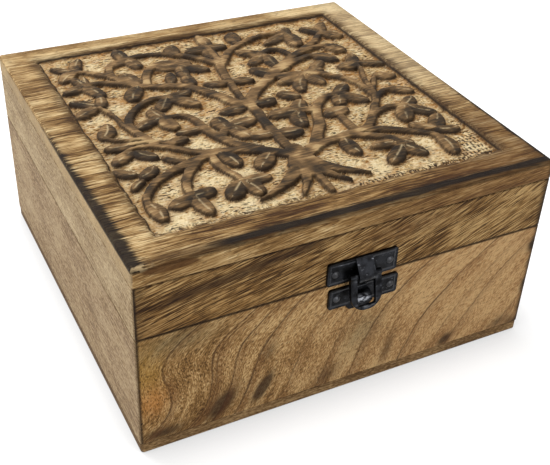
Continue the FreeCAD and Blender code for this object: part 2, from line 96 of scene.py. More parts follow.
class Shade:
    """A socket of a material. Arithmetic on shades adds Math nodes, and node() adds any other node."""

    def __init__(self, tree, socket=None):
        self.tree = tree
        self.socket = socket

    def node(self, kind, settings=None, sockets=None, out=0):
        """Adds a node: its settings are set first, then each socket gets its value or link."""
        made = self.tree.nodes.new(kind)
        for name, value in (settings or {}).items():
            if name == "stops":
                stops = made.color_ramp.elements
                while len(stops) < len(value):
                    stops.new(1.0)
                for stop, (position, colour) in zip(stops, value):
                    stop.position = position
                    stop.color = colour
            else:
                setattr(made, name, value)
        for key, value in (sockets or {}).items():
            if isinstance(value, Shade):
                self.tree.links.new(value.socket, made.inputs[key])
            else:
                made.inputs[key].default_value = value
        return Shade(self.tree, made.outputs[out] if made.outputs else None)

    def math(self, operation, *values):
        return self.node("ShaderNodeMath", {"operation": operation}, dict(enumerate(values)))

    def __add__(self, other):
        return self.math("ADD", self, other)

    def __sub__(self, other):
        return self.math("SUBTRACT", self, other)

    def __rsub__(self, other):
        return self.math("SUBTRACT", other, self)

    def __mul__(self, other):
        return self.math("MULTIPLY", self, other)

    def __truediv__(self, other):
        return self.math("DIVIDE", self, other)

    __radd__ = __add__
    __rmul__ = __mul__

    def rise(self, low, high):
        """0 below low and 1 above high, smooth between. With low above high it falls instead."""
        if low > high:
            return 1 - self.rise(high, low)
        return self.node("ShaderNodeMapRange", {"interpolation_type": "SMOOTHSTEP"},
                         {0: self, 1: low, 2: high})

    def bell(self, centre, width):
        """1 at the centre, falling to both sides like a bell of that half width."""
        off = (self - centre) / width
        return self.math("EXPONENT", off * off * -1.0)

    def below(self, other):
        return self.math("MINIMUM", self, other)

    def above(self, other):
        return self.math("MAXIMUM", self, other)

    def size(self):
        return self.math("ABSOLUTE", self)


def linear(colour):
    """Screen values from 0 to 255 turned into the linear values that light uses."""
    share = np.array(colour) / 255
    return (*np.where(share <= 0.04045, share / 12.92, ((share + 0.055) / 1.055) ** 2.4), 1.0)


print("a mid brown is", np.round(linear((140, 105, 70)), 3))

# %% Helpers that every finish uses


def new_finish(name):
    """An empty material, and a Shade that adds nodes to it."""
    material = bpy.data.materials.new(name)
    material.use_nodes = True
    material.node_tree.nodes.clear()
    return material, Shade(material.node_tree)


def split(vector):
    """The three values of a vector."""
    return [vector.node("ShaderNodeSeparateXYZ", {}, {0: vector}, out=axis) for axis in range(3)]


def place_mm(shade):
    """X, Y and Z of a point in the box's own frame, in millimetres."""
    return [metres * 1000.0 for metres in split(shade.node("ShaderNodeTexCoord", out=3))]


def noise(a, b, c, detail=2.0, roughness=0.5):
    """Cloudy noise about one half, on three values that are already scaled."""
    place = a.node("ShaderNodeCombineXYZ", {}, {0: a, 1: b, 2: c})
    return a.node("ShaderNodeTexNoise", {}, {"Vector": place, "Scale": 1.0, "Detail": detail,
                                             "Roughness": roughness})


def mix(shade, share, first, second, mode="MIX"):
    """Two colours blended: the first where share is 0 and the second where it is 1."""
    colours = [linear(c) if isinstance(c, tuple) else c for c in (first, second)]
    return shade.node("ShaderNodeMix", {"data_type": "RGBA", "blend_type": mode},
                      {0: share, 6: colours[0], 7: colours[1]}, out=2)


def ramp(shade, value, *stops):
    """A colour for each value, from stops of place and screen colour."""
    return shade.node("ShaderNodeValToRGB", {"stops": [(at, linear(c)) for at, c in stops]}, {0: value})


def surface(shade, colour, roughness, height, depth_mm, **fixed):
    """The usual shader: colour, roughness and a bump whose height of 1 stands depth_mm proud."""
    normal = shade.node("ShaderNodeBump", {}, {"Distance": depth_mm * mm, "Height": height})
    sockets = {"Base Color": colour, "Roughness": roughness, "Normal": normal}
    sockets.update({name.replace("_", " "): value for name, value in fixed.items()})
    shader = shade.node("ShaderNodeBsdfPrincipled", {}, sockets)
    shade.node("ShaderNodeOutputMaterial", {}, {"Surface": shader})


def dress(node, finish):
    """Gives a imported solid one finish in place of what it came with."""
    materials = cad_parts[node].data.materials
    materials.clear()
    materials.append(finish)


def grid_mesh(name, points, underside=False):
    """A mesh from a grid of points, rows by columns: each four neighbours make a face. With underside,
    the outer ring of the grid is closed by one more face."""
    rows, columns = points.shape[:2]
    index = np.arange(rows * columns).reshape(rows, columns)
    corners = [index[:-1, :-1], index[:-1, 1:], index[1:, 1:], index[1:, :-1]]
    faces = np.stack(corners, axis=-1).reshape(-1, 4).tolist()
    if underside:
        ring = [index[0, :-1], index[:-1, -1], index[-1, :0:-1], index[:0:-1, 0]]
        faces.append(np.concatenate(ring)[::-1].tolist())
    mesh = bpy.data.meshes.new(name)
    mesh.from_pydata(points.reshape(-1, 3), [], faces)
    smooth = np.ones(len(faces), dtype=bool)
    smooth[rows * columns - rows - columns + 1:] = False
    mesh.polygons.foreach_set("use_smooth", smooth)
    piece = bpy.data.objects.new(name, mesh)
    scene.collection.objects.link(piece)
    return piece


print("helpers ready")

# %% [markdown]
# ## The studio
# The box stands on a white sweep under large soft lamps. A white floor could be had with strong lamps, but
# those would bleach the wood. Instead the floor glows a little for the camera and for reflections only, so
# the lamps stay at a level at which each colour looks as it is written. An Ambient Occlusion node dims it
# close to the box, so the floor keeps the thin shadow that a soft light leaves there.

# %% Floor


def seen_directly(shade):
    """1 for rays from the camera, a reflection or glass, and 0 for the light that reaches other things."""
    kinds = ("Is Camera Ray", "Is Glossy Ray", "Is Transmission Ray")
    straight, mirrored, through_glass = [shade.node("ShaderNodeLightPath", out=kind) for kind in kinds]
    return straight.above(mirrored).above(through_glass)


floor_reach, floor_drop = 4.0, 0.0001
side = np.linspace(-floor_reach, floor_reach, 9)
floor_x, floor_y = np.meshgrid(side, side)
floor = grid_mesh("studio_floor", np.stack([floor_x, floor_y, np.full_like(floor_x, -floor_drop)], axis=-1))
paper, shade = new_finish("white_paper")
reach = {"Color": (0.52, 0.52, 0.52, 1), "Distance": 0.016}
shut_in = [shade.node("ShaderNodeAmbientOcclusion", {}, reach, out=kind) for kind in ("Color", "AO")]
matt = shade.node("ShaderNodeBsdfDiffuse", {}, {"Color": shut_in[0]})
strength = seen_directly(shade) * (shut_in[1] * 0.28 + 0.51)
glow = shade.node("ShaderNodeEmission", {}, {"Color": (1, 1, 1, 1), "Strength": strength})
both = shade.node("ShaderNodeAddShader", {}, {0: matt, 1: glow})
shade.node("ShaderNodeOutputMaterial", {}, {"Surface": both})
floor.data.materials.append(paper)
print("floor is", 2 * floor_reach, "m wide")

# %% Lamps and sky


def soft_lamp(name, place, size, watts):
    """A square lamp that faces the middle of the box."""
    lamp = bpy.data.objects.new(name, bpy.data.lights.new(name, "AREA"))
    lamp.data.size = size
    lamp.data.energy = watts
    away = Vector(place) - Vector((0, 0, 0.04))
    lamp.matrix_world = Matrix.Translation(place) @ away.to_track_quat("Z", "Y").to_matrix().to_4x4()
    scene.collection.objects.link(lamp)


soft_lamp("lamp_over_back", (-0.30, 0.80, 1.25), 0.8, 18.0)
soft_lamp("lamp_left", (-1.40, -0.10, 0.35), 0.9, 11.6)
soft_lamp("lamp_front", (0.30, -1.50, 0.32), 1.1, 13.4)
world = bpy.data.worlds.new("sky")
world.use_nodes = True
world.node_tree.nodes.clear()
shade = Shade(world.node_tree)
strength = seen_directly(shade) * 0.72 + 0.28
sky = shade.node("ShaderNodeBackground", {}, {"Color": (1, 1, 1, 1), "Strength": strength})
shade.node("ShaderNodeOutputWorld", {}, {"Surface": sky})
scene.world = world
print("three lamps and a pale sky")

# %% [markdown]
# ## Wood
# Mango wood is sawn into boards whose grain shows as long streaks, fine dark pores and, where the saw cuts
# across the rings, curved lines. A photograph wrapped on the board would repeat at each corner. A solid
# pattern is better: noise that is stretched along the grain and squeezed across it, worked out from the
# point's own place in the board, so that every face and edge of it agrees.

# %% Grain
box_half = 76.0
grain_depth = 0.14
dry_sheen = 0.08


def grain(along, across, deep, seed):
    """Four layers of noise, each stretched along the grain: wide bands, streaks, fibres and pores. The
    first three lie about zero, and the pores are 1 in short dark dashes."""
    bands = noise(along / 75.0 + seed, across / 9.0, deep / 9.0) - 0.5
    streaks = noise(along / 24.0, across / 0.9 + seed, deep / 0.9, 3.0) - 0.5
    fibres = noise(along / 8.0, across / 0.44 + seed, deep / 0.44, 2.0) - 0.5
    pores = noise(along / 2.2 + seed, across / 0.42, deep / 0.42, 1.0).rise(0.59, 0.70)
    return bands, streaks, fibres, pores


def spot(x, z, at, reach, lean=0.0):
    """A soft oval mark: 1 in the middle, with a half width and half height, leaning lean across per up."""
    up = z - at[1]
    side = (x - at[0] - up * lean) / reach[0]
    up = up / reach[1]
    return x.math("EXPONENT", (side * side + up * up) * -1.0)


print("grain ready")

# %% [markdown]
# ## The front wall
# The saw cut this board across its rings, so thin dark lines climb steeply from the foot and bend over to
# the right. A ring coordinate does it: the distance along the board less the bend at that height. Every
# ring is then a narrow bell at one value, and the same coordinate carries the streaks and the pores.

# %% Front wall finish


def front_wall_finish():
    """Thin rings, smoky marks and grey-green stains over fine specks."""
    finish, shade = new_finish("ringed_front_board")
    x, y, z = place_mm(shade)
    t = (z - 4.8) / 44.5
    bend = t * 14.3 + t * t * t * 11.7 + x.rise(0.0, 60.0) * t * 12.0
    sway = x.bell(-66.0, 24.0) * (t * t * t * 6.0 - t.math("SINE", t * 6.283) * 5.0)
    wobble = (noise(x / 14.0, z / 14.0, y / 14.0) - 0.5) * 2.4
    ring = x - bend + sway + wobble
    clouds = noise(x / 24.0, z / 15.0, y / 15.0, 3.0) - 0.5
    mottle = noise(ring / 3.6, z / 11.0, y / 3.6, 3.0) - 0.5
    rays = noise(ring / 0.9, z / 18.0, y / 0.9, 2.0) - 0.5
    low = (noise(ring / 2.4 + 4.0, z / 24.0, y / 2.4) - 0.5) * z.rise(28.0, 8.0)
    fan = spot(x, z, (-9.0, 42.5), (26.0, 10.0), 0.8)
    specks = noise(ring / 0.42, z / 1.2, y / 0.42, 1.0, 0.6) - 0.5
    pores = noise(ring / 0.38 + 9.0, z / 1.3, y / 0.38, 1.0).rise(0.57, 0.70)
    lines = ring.bell(-74.2, 0.42)
    shadow = ring.bell(-72.8, 1.5)
    rings = ((-59.2, 0.36, 0.9), (-57.6, 0.3, 0.7), (-51.0, 0.4, 0.9), (-42.6, 0.5, 1.0), (-25.4, 0.4, 0.6),
             (-12.0, 0.42, 0.7), (0.8, 0.42, 1.0), (21.5, 0.42, 0.9), (34.8, 0.45, 0.35), (42.7, 0.42, 0.8),
             (65.4, 0.5, 0.5))
    for at, width, depth in rings:
        lines = lines + ring.bell(at, width) * depth
        shadow = shadow + ring.bell(at + 1.4, 1.5) * depth
    warm = x.rise(-70.0, 60.0)
    tone = clouds * 0.9 + mottle * 1.2 + specks * 1.9 + rays * (0.55 + fan * 1.2) + low * 1.1
    tone = tone + warm * 0.20 + x.rise(-62.0, -36.0) * 0.11 + 0.54
    wood = ramp(shade, tone, (0.0, (64, 41, 20)), (0.42, (134, 100, 58)), (0.72, (170, 133, 86)),
                (1.0, (208, 174, 122)))
    wood = mix(shade, warm * 0.30, wood, (186, 140, 98))
    ochre = spot(x, z, (-73.2, 34.8), (6.0, 11.0)) * (specks * 2.0 + 0.8)
    orange = spot(x, z, (-71.2, 21.8), (5.0, 6.0)) * (specks * 2.0 + 0.8)
    wood = mix(shade, ochre.below(1.0) * 0.6, wood, (166, 126, 50))
    wood = mix(shade, orange.below(1.0) * 0.6, wood, (190, 122, 58))
    grey = spot(x, z, (-62.4, 44.0), (13.0, 5.0), 0.6) + spot(x, z, (4.7, 23.8), (7.0, 9.0), 0.3)
    wood = mix(shade, (grey * (mottle * 2.0 + 0.9)).below(1.0) * 0.5, wood, (112, 104, 76))
    smoke = spot(x, z, (-47.6, 10.9), (4.0, 5.6), 0.6) * 1.2
    marks = (((-32.8, 12.4), (2.2, 4.8), 0.5, 1.7), ((-68.3, 6.8), (7.0, 2.4), 0.2, 0.9),
             ((-8.1, 8.4), (4.5, 5.0), 0.5, 0.5), ((16.1, 11.9), (2.0, 7.0), 0.2, 0.55),
             ((41.7, 6.9), (2.6, 2.6), 0.5, 1.0), ((65.9, 6.8), (4.0, 3.0), 0.8, 0.5),
             ((75.0, 40.0), (2.5, 3.0), 0.0, 0.9), ((75.5, 23.0), (2.0, 4.0), 0.0, 0.8),
             ((-30.8, 27.7), (2.5, 4.0), 0.3, 0.45), ((74.0, 4.5), (5.0, 3.0), 0.0, 0.8))
    for at, reach, lean, depth in marks:
        smoke = smoke + spot(x, z, at, reach, lean) * depth
    smoke = (smoke * (mottle * 1.5 + specks * 1.2 + 1.3)).below(1.0)
    wood = mix(shade, smoke * 0.85, wood, (46, 31, 22))
    wood = mix(shade, shadow.below(1.0) * (0.42 - t * 0.22), wood, (96, 58, 34))
    inked = (lines * (mottle * 2.0 + rays * 1.5 + 0.9)).above(0.0).below(1.0)
    wood = mix(shade, inked * 0.80, wood, (66, 40, 24))
    wood = mix(shade, pores * (0.80 - warm * 0.35), wood, (60, 38, 19))
    ends = x.size().rise(74.6, 75.4) + z.rise(47.7, 48.3) + z.rise(4.7, 4.2)
    ends = ends + (x + mottle * 4.0).rise(72.8, 75.2)
    wood = mix(shade, ends.below(1.0) * y.rise(-75.0, -75.6) * 0.85, wood, (32, 22, 16))
    surface(shade, wood, mottle * 0.2 + 0.62, specks - pores * 0.8 - lines * 0.5, grain_depth,
            Specular_IOR_Level=dry_sheen)
    return finish


dress("front_wall", front_wall_finish())
print("front wall finished")

# %% [markdown]
# ## The lid's front rail
# This board is darker, with its grain running up to the right at a low angle and steeper towards the end,
# and one smoky band along it. The height less a curve that climbs with the distance along the board gives
# the coordinate across the grain.

# %% Front rail finish


def front_rail_finish():
    """Slanting dark and light streaks."""
    finish, shade = new_finish("streaked_front_rail")
    x, y, z = place_mm(shade)
    reach = x + box_half
    late = (reach - 45.0).above(0.0)
    wobble = (noise(x / 30.0, z / 8.0, y / 8.0) - 0.5) * 1.6
    across = z - reach * 0.26 - late * late * 0.0010 + wobble
    bands, streaks, fibres, pores = grain(reach, across, y, 7.7)
    fine = noise(reach / 8.0, across / 0.45, y / 0.45, 2.0) - 0.5
    dashes = noise(reach / 4.0 + 3.0, across / 0.45, y / 0.45, 1.0).rise(0.56, 0.66)
    clouds = noise(x / 24.0, z / 9.0, y / 9.0, 2.0) - 0.5
    tone = bands * 0.9 + streaks * 0.35 + fine * 3.0 + fibres * 1.3 + clouds * 0.9
    tone = tone + x.rise(-10.0, 60.0) * 0.25 + 0.46
    wood = ramp(shade, tone, (0.0, (44, 28, 15)), (0.38, (100, 71, 38)), (0.68, (148, 113, 68)),
                (1.0, (192, 158, 106)))
    band = (z - reach * 0.15 + wobble).bell(58.2, 1.9) * x.rise(-74.0, -60.0) * x.rise(2.0, -22.0)
    wood = mix(shade, (band * (streaks * 0.8 + fine * 2.6 + 0.9)).below(1.0) * 0.75, wood, (44, 29, 21))
    red = spot(x, z, (20.4, 63.9), (17.0, 3.4), 0.8)
    wood = mix(shade, (red * (streaks * 1.5 + fine * 1.5 + 0.7)).below(1.0) * 0.60, wood, (78, 44, 25))
    low = spot(x, z, (-54.6, 50.3), (28.0, 2.2)) * (streaks * 2.0 + fine * 2.0 + 0.6).above(0.0)
    wood = mix(shade, low.below(1.0) * 0.65, wood, (56, 37, 21))
    dusk = x.rise(-69.0, -76.0) + spot(x, z, (76.0, 60.0), (4.0, 7.0))
    wood = mix(shade, dusk.below(1.0) * (0.45 + fine), wood, (58, 40, 24))
    glint = spot(x, z, (-50.0, 51.0), (30.0, 5.0)) * (fine * 3.0 + 0.4).above(0.0)
    wood = mix(shade, glint.below(1.0) * 0.5, wood, (176, 130, 72))
    wood = mix(shade, (pores * 0.4 + dashes * 0.55).below(0.8), wood, (46, 30, 17))
    ends = x.size().rise(74.6, 75.4) + z.rise(49.3, 48.7) + z.rise(67.2, 67.9) * 0.7
    ends = ends + (x + fine * 5.0).rise(72.8, 75.2)
    wood = mix(shade, ends.below(1.0) * y.rise(-75.0, -75.6) * 0.88, wood, (30, 21, 15))
    surface(shade, wood, streaks * 0.3 + 0.62, fibres * 0.7 + fine - pores * 0.8, grain_depth,
            Specular_IOR_Level=dry_sheen)
    return finish


dress("lid_front_rail", front_rail_finish())
print("front rail finished")

# %% [markdown]
# ## The plain boards
# The other walls and rails are the same wood with quieter grain, paler on the left side. They share one
# recipe: which way the grain runs, a seed so that no two boards match, and three browns.

# %% Side, back and bottom finishes


def plain_board_finish(name, turn, seed, dark, middle, pale, slope=0.0):
    """Straight grain along X, or along Y where turn is true, that climbs by slope, with faint clouds."""
    finish, shade = new_finish(name)
    x, y, z = place_mm(shade)
    along, deep = (y, x) if turn else (x, y)
    wobble = (noise(along / 40.0, z / 14.0 + seed, deep / 14.0) - 0.5) * 6.0
    across = z - along * slope + wobble
    bands, streaks, fibres, pores = grain(along, across, deep, seed)
    clouds = noise(along / 22.0, z / 14.0, deep / 14.0 + seed, 3.0) - 0.5
    specks = noise(along / 1.6, across / 0.6, deep / 0.6 + seed, 2.0, 0.6) - 0.5
    tone = bands * 0.6 + streaks * 0.8 + fibres * 1.3 + specks * 2.3 + clouds * 1.2 + 0.5
    wood = ramp(shade, tone, (0.1, dark), (0.5, middle), (0.95, pale))
    wood = mix(shade, pores * 0.30, wood, dark)
    ends = along.size().rise(74.7, 75.6) + z.bell(48.5, 0.4) * deep.size().rise(75.2, 75.8) * 0.8
    wood = mix(shade, ends.below(1.0) * 0.6, wood, mix(shade, 0.5, dark, (30, 22, 16)))
    surface(shade, wood, streaks * 0.3 + 0.62, fibres * 0.6 + streaks * 0.4 - pores * 0.7, grain_depth,
            Specular_IOR_Level=dry_sheen)
    return finish


boards = {
    "left_wall": (True, 1.3, (114, 90, 63), (152, 127, 95), (180, 158, 124), 0.05),
    "lid_left_rail": (True, 4.6, (124, 100, 71), (165, 142, 107), (192, 171, 137), 0.06),
    "right_wall": (True, 8.2, (112, 84, 54), (148, 117, 80), (178, 148, 108), -0.10),
    "lid_right_rail": (True, 11.9, (104, 77, 48), (140, 109, 72), (172, 141, 101), 0.14),
    "back_wall": (False, 14.4, (108, 80, 50), (146, 114, 76), (176, 145, 104), 0.08),
    "lid_back_rail": (False, 17.8, (98, 72, 44), (134, 103, 67), (168, 137, 97), -0.12),
    "base_panel": (False, 21.5, (92, 68, 42), (128, 99, 65), (162, 133, 93), 0.0),
}
for node, recipe in boards.items():
    dress(node, plain_board_finish("plain_" + node, *recipe))
print("plain boards finished:", ", ".join(boards))

# %% [markdown]
# ## Drawing the tree
# A carver draws the tree on the board first: a trunk with roots, limbs that curl, and clusters of pointed
# leaves. A sculpt would do, but a drawing is easier to change, so the tree is a list of strokes on a sheet of
# 100 by 100, whose margins are later trimmed to the field. A branch is a line of points with a half width
# at each end, and a leaf is a base, a tip and its half width.

# %% Branches and leaves
trunk = [((49.3, 28.5), (49.0, 25.5), (48.8, 23.0), (48.6, 21.0)), (2.3, 2.7, 3.4, 4.2)]
branches = [
    # roots
    (((46.0, 20.6), (42.6, 17.6), (39.4, 15.4), (36.4, 13.9), (33.3, 12.7)), 1.9, 0.3),
    (((47.0, 18.6), (45.4, 15.0), (42.7, 11.0)), 1.5, 0.35),
    (((49.0, 18.0), (49.0, 10.3)), 0.95, 0.93),
    (((50.4, 18.4), (52.4, 15.2), (54.7, 12.0)), 1.4, 0.4),
    (((51.4, 20.4), (54.6, 17.2), (57.6, 14.8), (60.0, 13.0)), 1.8, 0.3),
    # stem up the middle
    (((49.0, 27.0), (48.5, 31.0), (48.6, 35.0), (48.7, 40.0), (48.9, 44.0), (49.4, 48.0), (49.0, 52.3)),
      1.2, 1.3),
    (((49.0, 52.3), (48.9, 56.8), (49.3, 61.4), (49.8, 65.2), (50.0, 68.3), (50.6, 72.2), (51.4, 75.2),
      (52.2, 78.4)), 0.75, 1.4),
    # left lower limb and its branches
    (((47.9, 26.6), (44.2, 30.0), (41.5, 31.5), (38.8, 32.7), (36.1, 33.7), (33.0, 34.4), (30.7, 34.9),
      (28.4, 36.2), (26.5, 37.9), (24.5, 39.8), (22.6, 41.2), (20.3, 42.3), (17.6, 43.1), (14.5, 42.3),
      (12.4, 40.6)), 1.5, 0.6),
    (((25.3, 41.4), (22.6, 43.4), (19.5, 44.6), (16.0, 44.9)), 0.7, 0.8),
    (((32.0, 34.4), (28.0, 33.0), (24.9, 32.3), (23.0, 31.5), (20.7, 30.6), (18.4, 29.4), (16.5, 28.3),
      (14.5, 26.5), (13.0, 24.6), (11.8, 22.7), (11.2, 20.2)), 1.3, 0.9),
    (((27.6, 32.9), (24.2, 29.2), (22.6, 26.9), (21.5, 24.6), (20.9, 22.3), (20.7, 19.6)), 1.3, 0.9),
    (((31.1, 34.2), (30.7, 30.0), (31.1, 27.3), (31.8, 25.0), (32.6, 23.1), (32.7, 20.4)), 1.1, 0.8),
    # left inner limb
    (((42.4, 32.0), (38.6, 35.2), (36.7, 38.7), (35.3, 42.0), (34.4, 45.5), (34.3, 48.5), (33.5, 51.5),
      (31.8, 53.4), (28.0, 54.0)), 1.5, 0.8),
    (((36.6, 39.6), (38.2, 42.6), (40.7, 43.9)), 1.0, 1.2),
    # left scroll and the strands beside it
    (((21.4, 43.4), (20.1, 46.9), (19.2, 50.0), (18.9, 52.9), (19.3, 55.2), (20.3, 57.5), (21.8, 59.5),
      (23.8, 61.4), (26.1, 62.9), (28.8, 64.0), (32.0, 63.6)), 1.2, 0.8),
    (((18.7, 50.5), (17.7, 53.7), (17.5, 56.4), (17.1, 59.1), (16.4, 61.8), (15.3, 64.4)), 0.7, 0.6),
    (((19.6, 46.4), (15.4, 47.2), (12.6, 48.8), (11.1, 51.2)), 0.6, 0.6),
    # left upper limb
    (((49.0, 52.0), (46.0, 55.2), (44.7, 58.3), (43.4, 60.6), (41.8, 62.9), (40.3, 65.2), (38.4, 67.2),
      (35.7, 68.7), (32.6, 69.7), (29.5, 70.9), (27.6, 72.0), (26.1, 73.3), (24.2, 74.7), (21.8, 76.0),
      (19.5, 77.1), (15.4, 77.4)), 1.7, 0.8),
    (((27.4, 72.4), (24.6, 76.6), (23.2, 79.1), (21.6, 80.9), (19.9, 82.5), (18.0, 84.1), (15.8, 85.6)),
      1.1, 0.8),
    (((23.8, 77.8), (23.6, 82.0), (25.2, 85.8), (29.6, 87.6)), 0.9, 1.1),
    (((29.6, 71.0), (30.6, 74.1), (31.4, 76.4), (32.7, 78.7), (34.6, 80.8), (36.9, 81.9), (40.4, 81.6)),
      1.1, 1.2),
    # scrolls at the top
    (((51.8, 76.4), (49.8, 78.6), (48.7, 80.2), (47.2, 81.9), (45.3, 84.0), (42.6, 86.0), (39.9, 87.3),
      (37.2, 88.1), (34.2, 88.5), (30.4, 88.0)), 1.2, 0.8),
    (((52.2, 76.0), (54.1, 78.4), (56.0, 81.0), (58.3, 83.3), (61.0, 85.0), (63.7, 86.4), (66.8, 87.7),
      (69.8, 88.5), (73.6, 88.6), (76.2, 87.0)), 1.2, 0.7),
    (((52.2, 77.6), (52.3, 86.8)), 1.0, 0.9),
    # right upper limb
    (((49.4, 52.4), (52.0, 56.6), (54.5, 59.1), (57.2, 61.4), (59.8, 63.3), (62.2, 65.2), (64.5, 67.2),
      (66.8, 69.1), (69.1, 71.2), (72.2, 73.3), (75.2, 75.3), (78.3, 77.2), (81.4, 79.3), (83.7, 81.7),
      (86.4, 84.0)), 1.6, 0.9),
    (((58.5, 62.2), (62.0, 65.6), (66.0, 68.2)), 1.5, 1.9),
    (((66.6, 67.8), (70.4, 69.9), (73.7, 71.1), (76.4, 71.5), (78.7, 70.2)), 1.2, 0.9),
    (((73.2, 73.6), (76.4, 74.9), (79.1, 75.8), (81.8, 76.0), (83.9, 74.8)), 1.0, 0.8),
    (((64.3, 77.6), (67.2, 79.0), (69.8, 78.3), (71.0, 76.0), (71.4, 73.6)), 0.9, 0.7),
    (((63.0, 63.4), (66.4, 63.0), (69.1, 62.2)), 1.4, 1.6),
    # right scroll and the twigs beside it
    (((70.6, 62.2), (73.2, 61.0), (75.4, 59.1), (77.3, 56.8), (78.7, 54.5), (79.7, 51.8), (80.1, 48.4),
      (79.9, 45.4)), 1.1, 0.9),
    (((85.2, 63.0), (84.7, 59.1), (83.4, 56.0), (82.4, 52.9), (81.3, 48.4)), 0.6, 0.7),
    (((87.0, 55.0), (85.2, 53.3), (83.6, 50.8), (81.4, 47.2)), 0.6, 0.7),
    # right lower limb and its branches
    (((51.4, 25.6), (53.9, 27.4), (56.4, 28.5), (59.5, 29.0), (62.2, 29.4), (65.2, 30.0), (67.9, 30.5),
      (69.8, 31.0), (71.8, 32.6), (73.7, 35.0), (75.6, 37.3), (77.2, 39.6), (78.7, 41.7), (79.8, 43.8),
      (80.8, 46.2), (81.8, 48.8)), 1.5, 0.8),
    (((52.0, 26.2), (55.2, 29.2), (56.8, 31.6), (58.3, 34.0), (60.2, 36.7), (61.4, 39.6), (62.5, 42.4),
      (64.1, 45.2), (66.4, 47.6), (69.1, 48.8), (72.4, 49.0)), 1.6, 1.0),
    (((62.9, 43.2), (60.8, 44.4), (58.6, 44.6)), 1.2, 1.2),
    (((66.9, 30.8), (66.7, 34.6), (66.9, 39.6)), 1.1, 1.0),
    (((64.4, 29.4), (67.9, 27.5), (70.2, 26.2), (72.2, 24.4), (73.2, 20.6)), 1.1, 1.2),
    (((68.6, 30.4), (73.7, 28.4), (76.4, 26.8), (78.7, 25.0), (80.6, 23.6), (82.5, 22.0), (83.5, 19.6)),
      1.2, 0.9),
    (((73.6, 35.2), (76.8, 37.0), (79.5, 37.8), (82.2, 37.9), (84.4, 37.0)), 0.9, 0.9),
    (((78.8, 42.0), (81.2, 44.5), (83.7, 46.0), (86.6, 46.2)), 0.9, 0.8),
]
